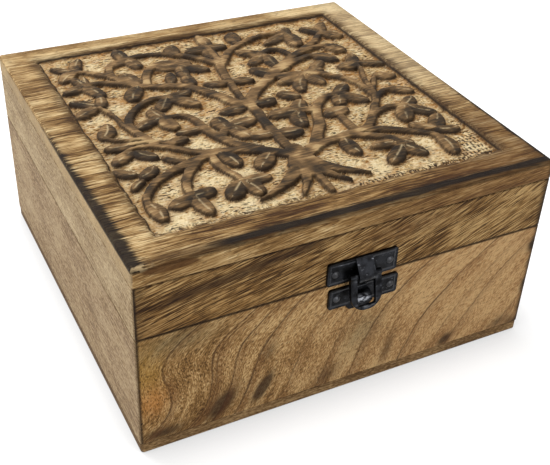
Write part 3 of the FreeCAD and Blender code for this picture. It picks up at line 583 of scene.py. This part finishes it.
leaves = [
    # beside the stem, and the cross of leaves at its head
    (49.5, 36.7, 54.6, 36.2, 1.9), (47.8, 37.2, 42.8, 37.8, 1.7), (47.4, 51.9, 41.2, 50.8, 1.7),
    (50.5, 52.2, 56.0, 52.6, 1.5), (49.0, 65.6, 43.6, 66.8, 1.4), (50.6, 65.2, 55.6, 64.4, 1.5),
    (52.4, 86.4, 52.7, 94.4, 1.6), (52.8, 86.8, 46.4, 86.3, 1.7), (52.0, 86.8, 57.4, 86.0, 1.5),
    (52.4, 86.8, 52.2, 79.4, 1.7),
    # left lower
    (17.4, 45.0, 10.3, 45.4, 1.4), (15.4, 41.6, 10.4, 37.9, 1.5), (15.9, 41.4, 19.7, 37.5, 1.5),
    (21.0, 37.0, 24.5, 33.9, 1.5), (9.2, 35.5, 13.0, 32.2, 1.3), (13.8, 30.7, 17.5, 33.7, 1.5),
    (13.7, 29.4, 10.4, 26.6, 0.9), (24.6, 42.2, 29.0, 42.8, 1.3), (33.0, 33.8, 34.8, 27.3, 1.8),
    (43.2, 28.8, 39.0, 24.4, 1.9), (11.2, 20.4, 12.1, 13.9, 1.6), (20.8, 19.4, 15.5, 17.2, 1.7),
    (21.2, 19.2, 22.1, 12.5, 1.7), (20.7, 19.6, 25.7, 20.6, 1.6), (32.4, 20.8, 28.1, 15.8, 1.8),
    (32.9, 20.6, 34.6, 15.1, 1.7), (32.7, 20.4, 39.0, 20.5, 1.6),
    # left inner
    (34.2, 46.2, 27.6, 45.8, 1.3), (39.2, 43.6, 39.2, 48.5, 1.9), (40.7, 44.0, 46.9, 45.0, 1.8),
    (40.5, 44.0, 42.4, 37.8, 1.9), (27.8, 53.4, 26.0, 58.7, 1.6), (26.6, 53.8, 20.3, 51.0, 1.4),
    (27.4, 54.4, 28.4, 48.4, 1.8),
    # left scroll and edge
    (31.5, 63.5, 38.4, 64.6, 1.5), (31.8, 63.0, 28.6, 57.9, 1.6), (32.2, 62.6, 37.8, 57.1, 1.7),
    (15.3, 64.4, 17.0, 70.1, 1.3), (14.6, 64.6, 9.4, 61.6, 1.5), (14.9, 65.4, 9.6, 69.7, 1.3),
    (11.3, 50.0, 14.2, 55.6, 1.7),
    # left upper
    (15.4, 77.3, 9.7, 74.8, 1.4), (15.2, 76.8, 17.8, 70.3, 1.7), (15.2, 77.0, 13.6, 82.0, 1.2),
    (15.6, 77.2, 16.5, 81.6, 1.0), (27.6, 71.4, 23.9, 65.4, 1.8), (28.3, 73.4, 26.3, 79.5, 1.9),
    (15.9, 85.5, 18.6, 92.2, 1.4), (15.9, 85.7, 11.2, 81.1, 1.6), (15.6, 85.6, 10.4, 89.7, 1.1),
    (29.6, 87.3, 29.1, 94.0, 1.6), (29.9, 87.6, 31.3, 82.2, 1.7), (29.8, 87.4, 24.5, 85.4, 1.2),
    (36.0, 80.4, 44.2, 80.4, 2.5), (41.6, 78.9, 47.6, 74.3, 1.7), (41.3, 79.0, 40.7, 72.2, 1.5),
    (41.0, 73.2, 40.6, 67.6, 1.5), (37.6, 76.0, 35.6, 69.8, 1.2), (42.4, 85.6, 43.9, 91.0, 1.8),
    # right upper
    (61.3, 86.4, 62.6, 92.9, 1.8), (76.6, 86.9, 76.0, 79.1, 2.0), (76.2, 87.2, 68.2, 82.6, 1.5),
    (76.2, 86.4, 78.2, 90.2, 1.3), (63.0, 65.6, 58.3, 69.9, 1.9), (86.2, 83.8, 90.6, 80.3, 1.7),
    (85.8, 83.6, 82.0, 88.3, 1.6), (86.4, 84.0, 89.8, 90.2, 1.4), (65.0, 77.6, 58.8, 81.3, 1.6),
    (64.6, 77.6, 59.0, 72.6, 1.6), (64.6, 77.4, 64.5, 69.5, 1.6), (77.2, 71.2, 81.3, 66.9, 1.9),
    (77.2, 67.2, 72.6, 62.6, 1.4), (83.2, 75.8, 86.3, 71.5, 1.8),
    # open flower
    (68.4, 62.0, 61.2, 59.9, 1.7), (69.3, 62.2, 71.7, 56.0, 1.8), (68.8, 61.6, 64.4, 53.7, 1.5),
    (69.6, 62.4, 75.0, 62.9, 1.5),
    # right edge
    (85.4, 63.0, 80.4, 62.1, 1.8), (85.2, 62.6, 87.0, 67.9, 1.5), (85.6, 62.4, 91.8, 59.9, 1.4),
    (86.2, 54.6, 90.9, 52.8, 1.6), (58.5, 54.8, 62.3, 51.6, 1.6), (72.2, 48.8, 76.4, 52.6, 1.5),
    (72.0, 49.2, 69.8, 44.0, 1.7), (72.4, 48.9, 77.1, 42.9, 1.7), (59.3, 44.6, 51.4, 45.0, 2.0),
    (59.0, 44.4, 61.6, 49.2, 1.7), (59.0, 44.8, 56.5, 37.7, 1.8), (64.2, 40.4, 69.8, 41.4, 1.9),
    # right lower
    (73.0, 21.8, 66.6, 22.4, 1.5), (73.0, 20.4, 67.0, 14.9, 1.7), (73.0, 20.8, 76.2, 15.4, 1.8),
    (72.6, 24.4, 75.8, 20.2, 1.4), (62.0, 28.4, 62.2, 21.2, 1.7), (83.4, 20.6, 82.4, 12.8, 1.7),
    (85.0, 24.4, 89.0, 29.9, 1.7), (84.9, 24.4, 80.3, 28.3, 1.5), (84.6, 23.6, 90.0, 22.6, 1.5),
    (84.2, 37.2, 80.8, 30.5, 1.9), (84.6, 37.0, 89.4, 31.2, 1.7), (84.2, 37.2, 88.2, 40.4, 1.5),
    (85.3, 46.4, 90.4, 43.0, 1.5),
]
rubbed_forks = [(49.0, 52.0), (28.5, 71.0), (67.5, 30.5), (31.2, 34.2), (52.0, 77.0), (68.8, 62.2),
                (37.8, 37.0), (62.0, 43.0), (66.4, 68.4), (20.4, 45.0)]
print(len(branches) + 1, "branches and", len(leaves), "leaves drawn")

# %% [markdown]
# ## Carving the board
# The carver sinks the ground between the drawn shapes and leaves the tree standing, level with the border.
# So the board is one surface: a grid whose lines lie close in the carved field and wide apart on the
# border, and whose height at each point depends on how far inside the nearest drawn shape it lies. The same
# grid goes on round the upper edge and down the sides, so the piece is closed.

# %% Grid lines across the board
low, high = (np.array(corner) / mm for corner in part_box("lid_top_panel"))
board_half = (high[0] - low[0]) / 2
board_top, board_thickness = high[2], high[2] - low[2]
edge_round, lower_round = 1.0, 0.5
field_left, field_right, field_front, field_back = -63.2, 63.6, -62.2, 65.0
carving_depth = 1.6
flat_half = board_half - edge_round
side_height = board_thickness - edge_round - lower_round
quarter = math.pi / 2
field_cells, border_cells = 282, 7


def grid_lines(start, end):
    """Places of the grid lines along one way. Past the flat top they count the length over the edge."""
    bend, side = edge_round * quarter, side_height
    over = np.concatenate([bend * np.array([0.25, 0.5, 0.75, 1.0]), bend + side * np.array([0.5, 1.0]),
                           bend + side + lower_round * quarter * np.array([0.5, 1.0])])
    left = np.linspace(-flat_half, start, border_cells + 1)[:-1]
    field = np.linspace(start, end, field_cells + 1)
    right = np.linspace(end, flat_half, border_cells + 1)[1:]
    return np.concatenate([-flat_half - over[::-1], left, field, right, flat_half + over])


lines_x = grid_lines(field_left, field_right)
lines_y = grid_lines(field_front, field_back)
grid_x, grid_y = np.meshgrid(lines_x, lines_y)
cell = round((field_right - field_left) / field_cells, 3)
print("grid of", grid_x.shape, "points, field cells", cell, "mm")

# %% Lines of the drawn shapes
lid_unit = 2 * board_half / 100
sheet_low, sheet_high = np.array([8.7, 9.2]), np.array([92.6, 94.9])
field_low, field_high = np.array([field_left, field_front]), np.array([field_right, field_back])


def on_board(places):
    """Places on the drawing sheet carried to the board: the trimmed sheet is stretched over the field."""
    return field_low + (np.array(places) - sheet_low) / (sheet_high - sheet_low) * (field_high - field_low)


def through(points, steps=6):
    """A smooth line through points: between two neighbours runs the cubic whose slopes come from the
    points on either side of them."""
    p = np.vstack([2 * points[0] - points[1], points, 2 * points[-1] - points[-2]])
    a, b, c, d = p[:-3], p[1:-2], p[2:-1], p[3:]
    t = np.linspace(0, 1, steps, endpoint=False)[:, None, None]
    bend, twist = 2 * a - 5 * b + 4 * c - d, 3 * b - a - 3 * c + d
    curve = b + (t * (c - a) + t ** 2 * bend + t ** 3 * twist) / 2
    return np.vstack([curve.transpose(1, 0, 2).reshape(-1, p.shape[1]), points[-1]])


def drawn(points, halves):
    """A branch in millimetres: its smooth middle line with a half width that follows the points."""
    points = on_board(points)
    halves = np.interp(np.linspace(0, 1, len(points)), np.linspace(0, 1, len(halves)), halves) * lid_unit
    return through(np.column_stack([points, halves]))


def leaf_line(x0, y0, x1, y1, half, curl):
    """A leaf in millimetres: a blunt oval whose middle line bows by curl. Points lie closer near the tips."""
    turn = math.pi * np.linspace(0, 1, 13)
    t = (1 - np.cos(turn)) / 2
    bow = curl * np.sin(math.pi * t)
    x = x0 + t * (x1 - x0) - bow * (y1 - y0)
    y = y0 + t * (y1 - y0) + bow * (x1 - x0)
    swell = half * 1.22 * np.sin(turn) ** 0.9
    return np.column_stack([on_board(np.column_stack([x, y])), swell * lid_unit])


# A shape is its line, how high it stands, how far its sides fall, its brown, and 1 where it is a leaf
rng = np.random.default_rng(11)
shapes = [(drawn(*trunk), 0.98, 0.06, 0.54, 0.0)]
shapes += [(drawn(line, (start, end)), 0.97, 0.12, rng.uniform(0.36, 0.54), 0.0)
           for line, start, end in branches]
shapes += [(leaf_line(*leaf, rng.uniform(-0.10, 0.10)), 0.95, 0.30, rng.uniform(0.20, 0.56), 1.0)
           for leaf in leaves]
print(len(shapes), "shapes to leave standing")

# %% Measures over the grid


def inside_line(x, y, line):
    """How far each place lies inside the outline of a line with half widths, with the distance across
    it and along it, and the half width there. Each stretch is a cone, and the deepest one counts."""
    start, run = line[:-1], line[1:] - line[:-1]
    length = np.hypot(run[:, 0], run[:, 1]) + 1e-9
    dx, dy = x[..., None] - start[:, 0], y[..., None] - start[:, 1]
    t = np.clip((dx * run[:, 0] + dy * run[:, 1]) / length ** 2, 0, 1)
    away = np.hypot(dx - t * run[:, 0], dy - t * run[:, 1])
    half = start[:, 2] + t * run[:, 2]
    best = np.argmax(half - away, axis=-1)[..., None]
    turn = np.sign(run[:, 0] * dy - run[:, 1] * dx)
    along = (np.cumsum(length) - length) + t * length
    wanted = (half - away, away * turn, along, np.broadcast_to(half, away.shape))
    return [np.take_along_axis(values, best, axis=-1)[..., 0] for values in wanted]


def ease(value):
    """0 to 1 with soft ends."""
    value = np.clip(value, 0, 1)
    return value * value * (3 - 2 * value)


def soften(values, size, stretch=1.0):
    """Values over the grid, blurred by a bell on their frequencies. The blur is size cells deep and stretch
    times as wide."""
    down = np.fft.fftfreq(grid_x.shape[0])[:, None]
    over = np.fft.rfftfreq(grid_x.shape[1])[None, :] * stretch
    soft = np.exp(-(over ** 2 + down ** 2) * (size * math.pi) ** 2 / 2)
    return np.fft.irfft2(np.fft.rfft2(values) * soft, grid_x.shape)


def lumps(size, seed, stretch=1.0):
    """Even noise over the grid, about zero with a spread of one, with lumps about size cells deep."""
    noise_field = soften(np.random.default_rng(seed).standard_normal(grid_x.shape), size, stretch)
    return noise_field / noise_field.std()


print("distances, blur and lumps ready")

# %% Height of every point of the carving
sides = (grid_x - field_left, field_right - grid_x, grid_y - field_front, field_back - grid_y)
into_field = np.min(sides, axis=0) + 0.07 * lumps(10, 5) + 0.10 * lumps(4, 15)
border = ease(0.5 - into_field / 0.8)
stand, edge = border.copy(), -into_field
across, leafy, tone = np.zeros_like(stand), np.zeros_like(stand), np.zeros_like(stand)
ragged = 0.10 * lumps(3.2, 6)
for line, level_share, crown, brown, leaf in shapes:
    reach = line[:, 2].max() + 2.5
    rows = slice(*np.searchsorted(lines_y, [line[:, 1].min() - reach, line[:, 1].max() + reach]))
    columns = slice(*np.searchsorted(lines_x, [line[:, 0].min() - reach, line[:, 0].max() + reach]))
    window = (rows, columns)
    deep, off, run, half = inside_line(grid_x[window], grid_y[window], line)
    deep = deep + ragged[window]
    lean = line[-1, :2] - line[0, :2]
    # The distance across each shape runs the same way, so a leaf's painted shade falls on the same side
    off = off * (1 if lean @ [0.8, 0.6] < 0 else -1)
    dome = level_share - crown * np.clip(np.abs(off) / (half + 0.1), 0, 1.2) ** 2
    if leaf:
        share = run / np.hypot(*lean)
        dome = dome - 0.20 * np.exp(-(off / 0.36) ** 2) * ease((share - 0.12) * 8) * ease((0.9 - share) * 8)
    raised_here = dome * ease(deep / 0.55 + 0.5)
    better = raised_here > stand[window]
    stand[window] = np.where(better, raised_here, stand[window])
    for kept, fresh in ((across, off), (leafy, leaf), (tone, brown)):
        kept[window] = np.where(better, fresh, kept[window])
    edge[window] = np.maximum(edge[window], deep)
for x, y in on_board(rubbed_forks):
    away = np.hypot(grid_x - x, grid_y - y) / lid_unit
    tone = tone + (1 - leafy) * 0.36 * np.exp(-(away / 2.8) ** 2)
tone = tone + (1 - leafy) * 0.15 * lumps(15, 14)
# How far each slope faces the front: the finish paints shade on the flanks that face it
facing = np.clip(soften(np.gradient(stand, lines_y, axis=0), 3.0) * 1.6, -1, 1)
# How closely raised work stands round a place: the finish paints shade on the ground there
crowd_shade = soften(stand, 12.0)
torn = np.clip(lumps(1.4, 8, 2.2) - 0.9, 0, 1.6)
gouged = 0.07 * lumps(1.8, 7, 1.8) + 0.14 * lumps(9, 10) - 0.30 * torn
height = -carving_depth * (1 - stand) + np.clip(1 - stand, 0, 1) * gouged
height = height + (into_field > 0) * stand * 0.03 * lumps(3.0, 12)
print("raised share of the field", round(float((stand[into_field > 0] > 0.5).mean()), 3))

# %% The closed board


def wrap(over):
    """How far a strip reaches out and drops where it runs past the flat top: a quarter turn over the
    upper edge, straight down the side, and a quarter turn in under the lower edge."""
    first = np.clip(over / edge_round, 0, quarter)
    side = np.clip(over - edge_round * quarter, 0, side_height)
    last = np.clip((over - edge_round * quarter - side_height) / lower_round, 0, quarter)
    out = edge_round * np.sin(first) - lower_round * (1 - np.cos(last))
    return out, edge_round * (1 - np.cos(first)) + side + lower_round * np.sin(last)


# At a corner, a ring of points turns a quarter circle, half of it on each side of the diagonal
over_x = np.maximum(np.abs(grid_x) - flat_half, 0)
over_y = np.maximum(np.abs(grid_y) - flat_half, 0)
most = np.maximum(over_x, over_y)
out, drop = wrap(most)
turn = np.minimum(over_x, over_y) / (most + 1e-9) * quarter / 2
ahead, aside = flat_half + out * np.cos(turn), flat_half + out * np.sin(turn)
far_x = np.where(over_x == 0, np.abs(grid_x), np.where(over_x < over_y, aside, ahead))
far_y = np.where(over_y == 0, np.abs(grid_y), np.where(over_y <= over_x, aside, ahead))
points = [np.sign(grid_x) * far_x, np.sign(grid_y) * far_y, board_top - drop + height]
points = np.stack(points, axis=-1) * mm
carved_board = grid_mesh("carved_lid_board", points, underside=True)
kind = (np.clip(stand, 0, 1), 1 - border, tone)
# The tears attribute also carries the facing and closeness values that paint shade
for name, parts in (("cut", (edge, across, leafy)), ("kind", kind), ("tears", (torn, facing, crowd_shade))):
    values = np.stack(parts, axis=-1).astype(np.float32)
    attribute = carved_board.data.attributes.new(name, "FLOAT_VECTOR", "POINT")
    attribute.data.foreach_set("vector", values.ravel())
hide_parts("lid_top_panel")
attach(carved_board, "lid")
print("carved board has", len(carved_board.data.polygons), "faces")

# %% [markdown]
# ## Colour of the carving
# After carving, the maker scorches the whole lid and sands it. The ground keeps pale, torn wood with dark
# pits, the raised work stays brown with charred flanks, and the border is rubbed to a light tan except
# near its edges. Over that the finish paints shade on the flanks that face the front, on one half of each
# leaf and on the ground where shapes stand close. Painting that by hand would not survive a change to the
# drawing, so the grid carries three attributes that the finish reads: how far a point lies inside a shape,
# which kind of place it is, and how torn it is, how much it faces the front and how crowded it is, the last
# two for the painted shade.

# %% Border of the carved board


def border_colour(shade, place, row, edge, field):
    """Tan grain, paler at the back and the right, then smoke, scorched edges, a charred rim, and the pale
    chips and brown smear of the near corner. Gives the colour and the height of the grain."""
    x, y, z = place
    top, front, rear = z.rise(73.4, 74.4), y.rise(-58.0, -66.0), y.rise(62.0, 70.0)
    bands, streaks, fibres, pores = grain(x, row, z - x * (1 - top) * 0.16, 5.2)
    clouds = noise(x / 18.0, y / 9.0, z / 9.0, 3.0) - 0.5
    light = x.rise(50.0, 70.0) * y.rise(-45.0, 20.0) * 0.18 + rear * 0.26 - front * top * 0.07
    light = light - (1 - top) * (x.rise(-50.0, 30.0) * 0.16 + 0.02)
    light = light - y.rise(10.0, 45.0) * x.rise(-62.0, -68.0) * 0.10
    calm = 0.74 + top * 0.26 - rear * 0.50
    tone = (bands * 0.9 + streaks * 1.1 + fibres * 2.0) * calm + clouds * (0.7 + top * 0.8) + light + 0.49
    plain = ramp(shade, tone, (0.0, (70, 45, 24)), (0.4, (144, 110, 66)), (0.7, (190, 157, 108)),
                 (1.0, (226, 199, 150)))
    plain = mix(shade, pores * 0.45, plain, (80, 55, 32))
    plain = mix(shade, (1 - top) * x.rise(-20.0, 60.0) * 0.30, plain, (122, 86, 56))
    plain = mix(shade, x.rise(62.0, 68.0) * y.rise(-40.0, 10.0) * top * 0.25, plain, (222, 206, 172))
    plain = mix(shade, x.rise(-75.2, -75.9) * (1 - top) * 0.60, plain, (186, 164, 128))
    smoked = (x.rise(58.0, 66.0) * y.rise(-24.0, -46.0) + front * x.rise(15.0, 50.0)).below(1.0) * top
    plain = mix(shade, smoked * (clouds * 1.5 + streaks + 0.5), plain, (98, 66, 38))

    shade_left = x.rise(-60.0, -64.0) * y.rise(-40.0, 30.0)
    inner = (edge + clouds * 7.0 + streaks * 4.0 + fibres * 3.0 - shade_left).rise(5.4, -0.4)
    outer = (box_half - x.size().above(y.size()) + clouds * 9.0 + streaks * 4.0).rise(7.0, 0.5)
    scorch = (inner * (1 - front * 0.5)).above(outer * (front * 0.5 + 0.25)).below(1.0) * top
    plain = mix(shade, scorch * (0.80 - x.rise(-58.0, -66.0) * 0.15), plain, (54, 37, 24))
    line = edge.bell(0.1, 0.5) * field.rise(0.98, 0.6)
    plain = mix(shade, line * (0.85 - front * 0.5), plain, (40, 29, 21))

    left = x + box_half - y.rise(26.0, -74.0) * 3.9 + streaks * 3.5 + fibres * 2.5 + clouds * 2.5
    left = left.rise(1.6, -0.8) * y.rise(24.0, 0.0)
    near = y + box_half + clouds * 3.0 + fibres * 2.0 - x.rise(-50.0, 20.0) * 0.7
    near = near.rise(4.4, 2.8) * near.rise(-0.2, 0.8) * x.rise(-58.0, -44.0)
    right = (75.2 - x + clouds * 2.0).rise(1.5, 0.3) * y.rise(5.0, -40.0)
    corner = (x + fibres * 4.0).rise(73.6, 75.4) * y.rise(-74.6, -75.4) * (1 - top)
    plain = mix(shade, corner * 0.8, plain, (40, 28, 20))
    char = left.above(near).above(right) * z.rise(72.9, 74.2)
    plain = mix(shade, char * 0.93, plain, (22, 17, 15))
    chips = noise(x / 2.4, y / 1.6, z / 1.6, 1.0).rise(0.47, 0.56)
    chips = chips * spot(x, y, (-73.0, -75.4), (3.2, 1.0)) * z.rise(73.0, 74.3)
    plain = mix(shade, chips * 0.85, plain, (196, 170, 128))
    smear = (spot(x, z, (-64.0, 73.0), (8.5, 1.5)) + clouds * 0.5 + fibres * 0.5).rise(0.28, 0.40)
    plain = mix(shade, smear * y.rise(-74.6, -75.3) * 0.85, plain, (86, 57, 31))
    return plain, fibres + streaks - pores


print("border recipe ready")

# %% Ground of the carving


def ground_colour(shade, place, row, edge, torn, crowd_shade, far):
    """Pale patches, darker in pits and tears, with painted shade where raised work stands close, pale fibres
    and dark dashes along the grain, punched gaps along the front, bars at the right, and brown close to a
    shape.
    Gives the colour and the height of the pits and dashes."""
    x, y, z = place
    pits = noise(x / 1.0, y / 0.8, z / 1.1, 2.0, 0.6)
    patch = noise(x / 12.0, y / 12.0, 4.0, 2.0) - 0.5
    often = noise(x / 7.0, y / 7.0, 9.0, 2.0)
    # The last term is painted shade where raised work stands close together
    tone = (pits - 0.5) * 1.7 + patch + 0.95 - torn * 0.35 - far * 0.26 - crowd_shade * 0.52
    ground = ramp(shade, tone, (0.0, (66, 45, 27)), (0.30, (146, 110, 65)), (0.55, (198, 164, 111)),
                  (0.90, (237, 214, 167)))
    ground = mix(shade, often.rise(0.48, 0.66) * (0.46 + far * 0.25), ground, (174, 122, 64))
    fibre = noise(x / 3.4, row / 0.55, 5.0, 2.0).rise(0.53, 0.64)
    ground = mix(shade, fibre * 0.46, ground, (250, 236, 202))
    dashes = noise(x / 2.3, row / 0.62, 2.0, 1.0).rise(0.56, 0.61)
    dashes = dashes * noise(x / 6.0, y / 6.0, 7.0).rise(0.34, 0.60)
    ground = mix(shade, dashes * 0.9, ground, (52, 36, 24))
    gaps = noise(x / 0.8, y / 1.9, 6.0, 1.0).rise(0.47, 0.55)
    gaps = gaps * y.rise(-58.6, -59.8) * x.size().rise(5.0, 9.0) * (0.5 + x.rise(-30.0, 30.0) * 0.45)
    bars = x.math("SINE", x * 4.0 + patch * 16.0 + pits * 3.0).rise(-0.1, 0.5)
    bars = bars * y.math("SINE", y * 2.6 + patch * 9.0).rise(-0.8, 0.0)
    bars = bars * y.rise(-44.0, -49.0) * x.rise(46.0, 51.0)
    ground = mix(shade, gaps.above(bars * 0.9), ground, (50, 33, 21))
    ground = mix(shade, (edge + (pits - 0.5) * 2.0).rise(-2.0, -0.3) * 0.45, ground, (158, 112, 64))
    ground = mix(shade, (edge + (pits - 0.5) * 0.8).rise(-0.65, -0.15) * 0.60, ground, (56, 39, 25))
    return ground, pits * 4.0 - dashes * 2.0


print("ground recipe ready")

# %% Raised work of the carving


def work_colour(shade, place, row, edge, across, leaf, brown, facing, far):
    """Browns that vary with scratches, wear and burns, with painted shade on one half of a leaf, charred
    flanks that carry painted shade where they face the front, and a pale slit along a leaf. Gives the colour,
    the scratches and the wear."""
    x, y, z = place
    scratch = noise(x / 6.0, row / 0.70, z / 2.0, 3.0) - 0.5
    worn = noise(x / 4.5, y / 4.5, 3.0, 2.0) - 0.5
    burnt = noise(x / 6.5 + 4.0, y / 6.5, 8.0, 1.0) - 0.5
    # Painted shade: one half of each leaf is darker, as if lit from the other side
    half = leaf * across.rise(-0.5, 0.9) * 0.20
    tone = scratch + worn * 0.7 + burnt * 1.2 + brown + leaf * 0.10 + 0.03 - half
    work = ramp(shade, tone, (0.0, (42, 34, 26)), (0.25, (68, 54, 38)), (0.5, (108, 84, 56)),
                (0.75, (150, 119, 81)), (1.0, (190, 160, 114)))
    # Flanks are darkened by char, and more where they face the front: that part is painted shade
    charred_and_shaded_flank = ((edge + scratch * 0.4) / (0.50 + facing * 0.38 + leaf * 0.16)).rise(1.2, 0.1)
    work = mix(shade, charred_and_shaded_flank * (0.76 + facing * 0.18 - far * 0.24), work, (46, 34, 23))
    slit = across.bell(0.1, 0.36) * leaf * worn.rise(-0.07, 0.03) * edge.rise(0.7, 1.2)
    slit = slit * (1 - y.rise(-20.0, 30.0) * x.rise(-50.0, -20.0) * 0.7)
    work = mix(shade, slit * (0.45 + worn * 2.0).below(0.85), work, (210, 187, 146))
    return work, scratch, worn


print("raised work recipe ready")

# %% Carved board finish


def carried_by(shade, name):
    """The three values that the grid carries under a name."""
    return split(shade.node("ShaderNodeAttribute", {"attribute_name": name}, out=1))


def carved_board_finish():
    """The ground, the raised work inside a shape's edge, and the border outside the field."""
    finish, shade = new_finish("scorched_and_rubbed_wood")
    place = place_mm(shade)
    x, y, z = place
    edge, across, leaf = carried_by(shade, "cut")
    stand, field, brown = carried_by(shade, "kind")
    torn, facing, crowd_shade = carried_by(shade, "tears")
    row = y + (noise(x / 40.0, y / 10.0, z / 10.0) - 0.5) * 4.0
    far = x.rise(-50.0, 60.0) * 0.5 + y.rise(-40.0, 50.0) * 0.5
    plain, plain_height = border_colour(shade, place, row, edge, field)
    ground, ground_height = ground_colour(shade, place, row, edge, torn, crowd_shade, far)
    work, scratch, worn = work_colour(shade, place, row, edge, across, leaf, brown, facing, far)
    colour = mix(shade, edge.rise(-0.24, -0.02), ground, work)
    colour = mix(shade, field.rise(0.75, 0.35), colour, plain)
    colour = mix(shade, z.rise(68.6, 68.1) * 0.6, colour, (150, 118, 80))
    height = (1 - stand) * field * ground_height + (1 - field) * plain_height + stand * field * scratch
    carving_grain_depth = 0.16
    surface(shade, colour, worn * 0.3 + 0.64, height, carving_grain_depth, Specular_IOR_Level=dry_sheen)
    return finish


carved_board.data.materials.append(carved_board_finish())
print("carving coloured")

# %% [markdown]
# ## Iron
# The hasp and the hinges are stamped from thin iron, blackened and lacquered, with edges that the tool left
# bright. The imported solids have the true shape, so they only get a fine rounded edge from a Bevel, after a
# Weld that joins their loose triangles, and a near-black satin with cloudy lacquer, a few rubbed marks and a
# painted highlight on the catch and the strap's lip.

# %% Black iron and plain steel finishes
hasp_middle = float(sum(corner[0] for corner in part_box("hasp_loop"))) / 2 / mm


def black_iron_finish(name, plates, pale=0):
    """Near-black metal: cloudy gloss, pitted bump, grey rubs, and a painted highlight on the catch and the
    strap's lip. Each plate, given as its middle and half width along X, its foot and its head, has a pressed
    line inside its edge.
    The lacquer's blacks are lifted by pale, which on the nail heads is partly painted highlight."""
    finish, shade = new_finish(name)
    x, y, z = place_mm(shade)
    clouds = noise(x / 3.0, y / 3.0, z / 3.0, 3.0)
    pitted = noise(x / 0.6, y / 0.6, z / 0.6, 2.0)
    worn = noise(x / 1.6, y / 1.6, z / 0.7, 3.0)
    rubbed = worn.rise(0.63, 0.78) * 0.5
    pressed = x * 0.0
    for middle, half, foot, head in plates:
        inside = (half - (x - middle).size()).below(z - foot).below(head - z)
        pressed = pressed + inside.bell(1.0, 0.28) * y.rise(-77.4, -76.9)
    # Painted highlight where the catch's face and the strap's lower lip catch the light
    painted_highlight = spot(x, z, (hasp_middle, 42.0), (2.6, 1.5)) + spot(x, z, (hasp_middle, 50.0), (2.8, 0.7))
    painted_highlight = painted_highlight * y.rise(-78.2, -79.0) * worn.rise(0.36, 0.56)
    # The grey mix below carries the real rubs and the painted highlight together
    rubbed = (rubbed + painted_highlight * 1.2 + pressed * 0.14).below(1.0)
    dark, light = [tuple(tone + pale for tone in black) for black in ((16, 16, 17), (35, 36, 39))]
    colour = mix(shade, clouds.rise(0.35, 0.65), dark, light)
    colour = mix(shade, rubbed * 0.8, colour, (126, 128, 133))
    surface(shade, colour, (clouds - 0.5) * 0.4 + 0.38, pitted + clouds - pressed * 3.0, 0.05, Metallic=1.0)
    return finish


def plain_steel_finish():
    """Drawn steel: fine lines along X and a little grey tarnish."""
    finish, shade = new_finish("drawn_steel")
    x, y, z = place_mm(shade)
    drawn_lines = noise(x / 6.0, y / 0.15, z / 0.15, 2.0)
    tarnish = noise(x / 2.0, y / 2.0, z / 2.0, 2.0)
    colour = mix(shade, tarnish.rise(0.4, 0.7), (150, 150, 152), (96, 92, 88))
    surface(shade, colour, tarnish * 0.3 + 0.2, drawn_lines, 0.02, Metallic=1.0)
    return finish


hasp_plates = []
for node in ("hasp_lid_plate", "hasp_base_plate"):
    low, high = (np.array(corner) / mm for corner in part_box(node))
    middle, half = (low[0] + high[0]) / 2, (high[0] - low[0]) / 2
    hasp_plates.append([float(value) for value in (middle, half, low[2], high[2])])
# The box of the base plate also holds the tab under it
tab_drop = 2.0
hasp_plates[1][2] += tab_drop
hasp_iron = black_iron_finish("blackened_hasp_iron", hasp_plates)
hinge_iron = black_iron_finish("blackened_hinge_iron", [])
# Nail heads are lifted paler all over: partly real rubbing, partly painted highlight that makes the domes
# read
nail_iron = black_iron_finish("rubbed_and_highlit_nail_iron", [], pale=34)
plain_steel = plain_steel_finish()
weld_reach, edge_width, sharpest = 0.001 * mm, 0.12 * mm, math.radians(50)
for node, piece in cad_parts.items():
    if "hasp" in node or "hinge" in node:
        iron = nail_iron if "nails" in node else hasp_iron if "hasp" in node else hinge_iron
        dress(node, plain_steel if "pin" in node else iron)
        piece.modifiers.new("join_triangles", "WELD").merge_threshold = weld_reach
        bevel = piece.modifiers.new("fine_edge", "BEVEL")
        bevel.width, bevel.segments = edge_width, 2
        bevel.limit_method, bevel.angle_limit = "ANGLE", sharpest
    elif "brads" in node:
        dress(node, plain_steel)
print("iron and steel finished")

# %% [markdown]
# ## The last update
# The view layer is brought up to date at the end.

# %% Update the view layer
bpy.context.view_layer.update()
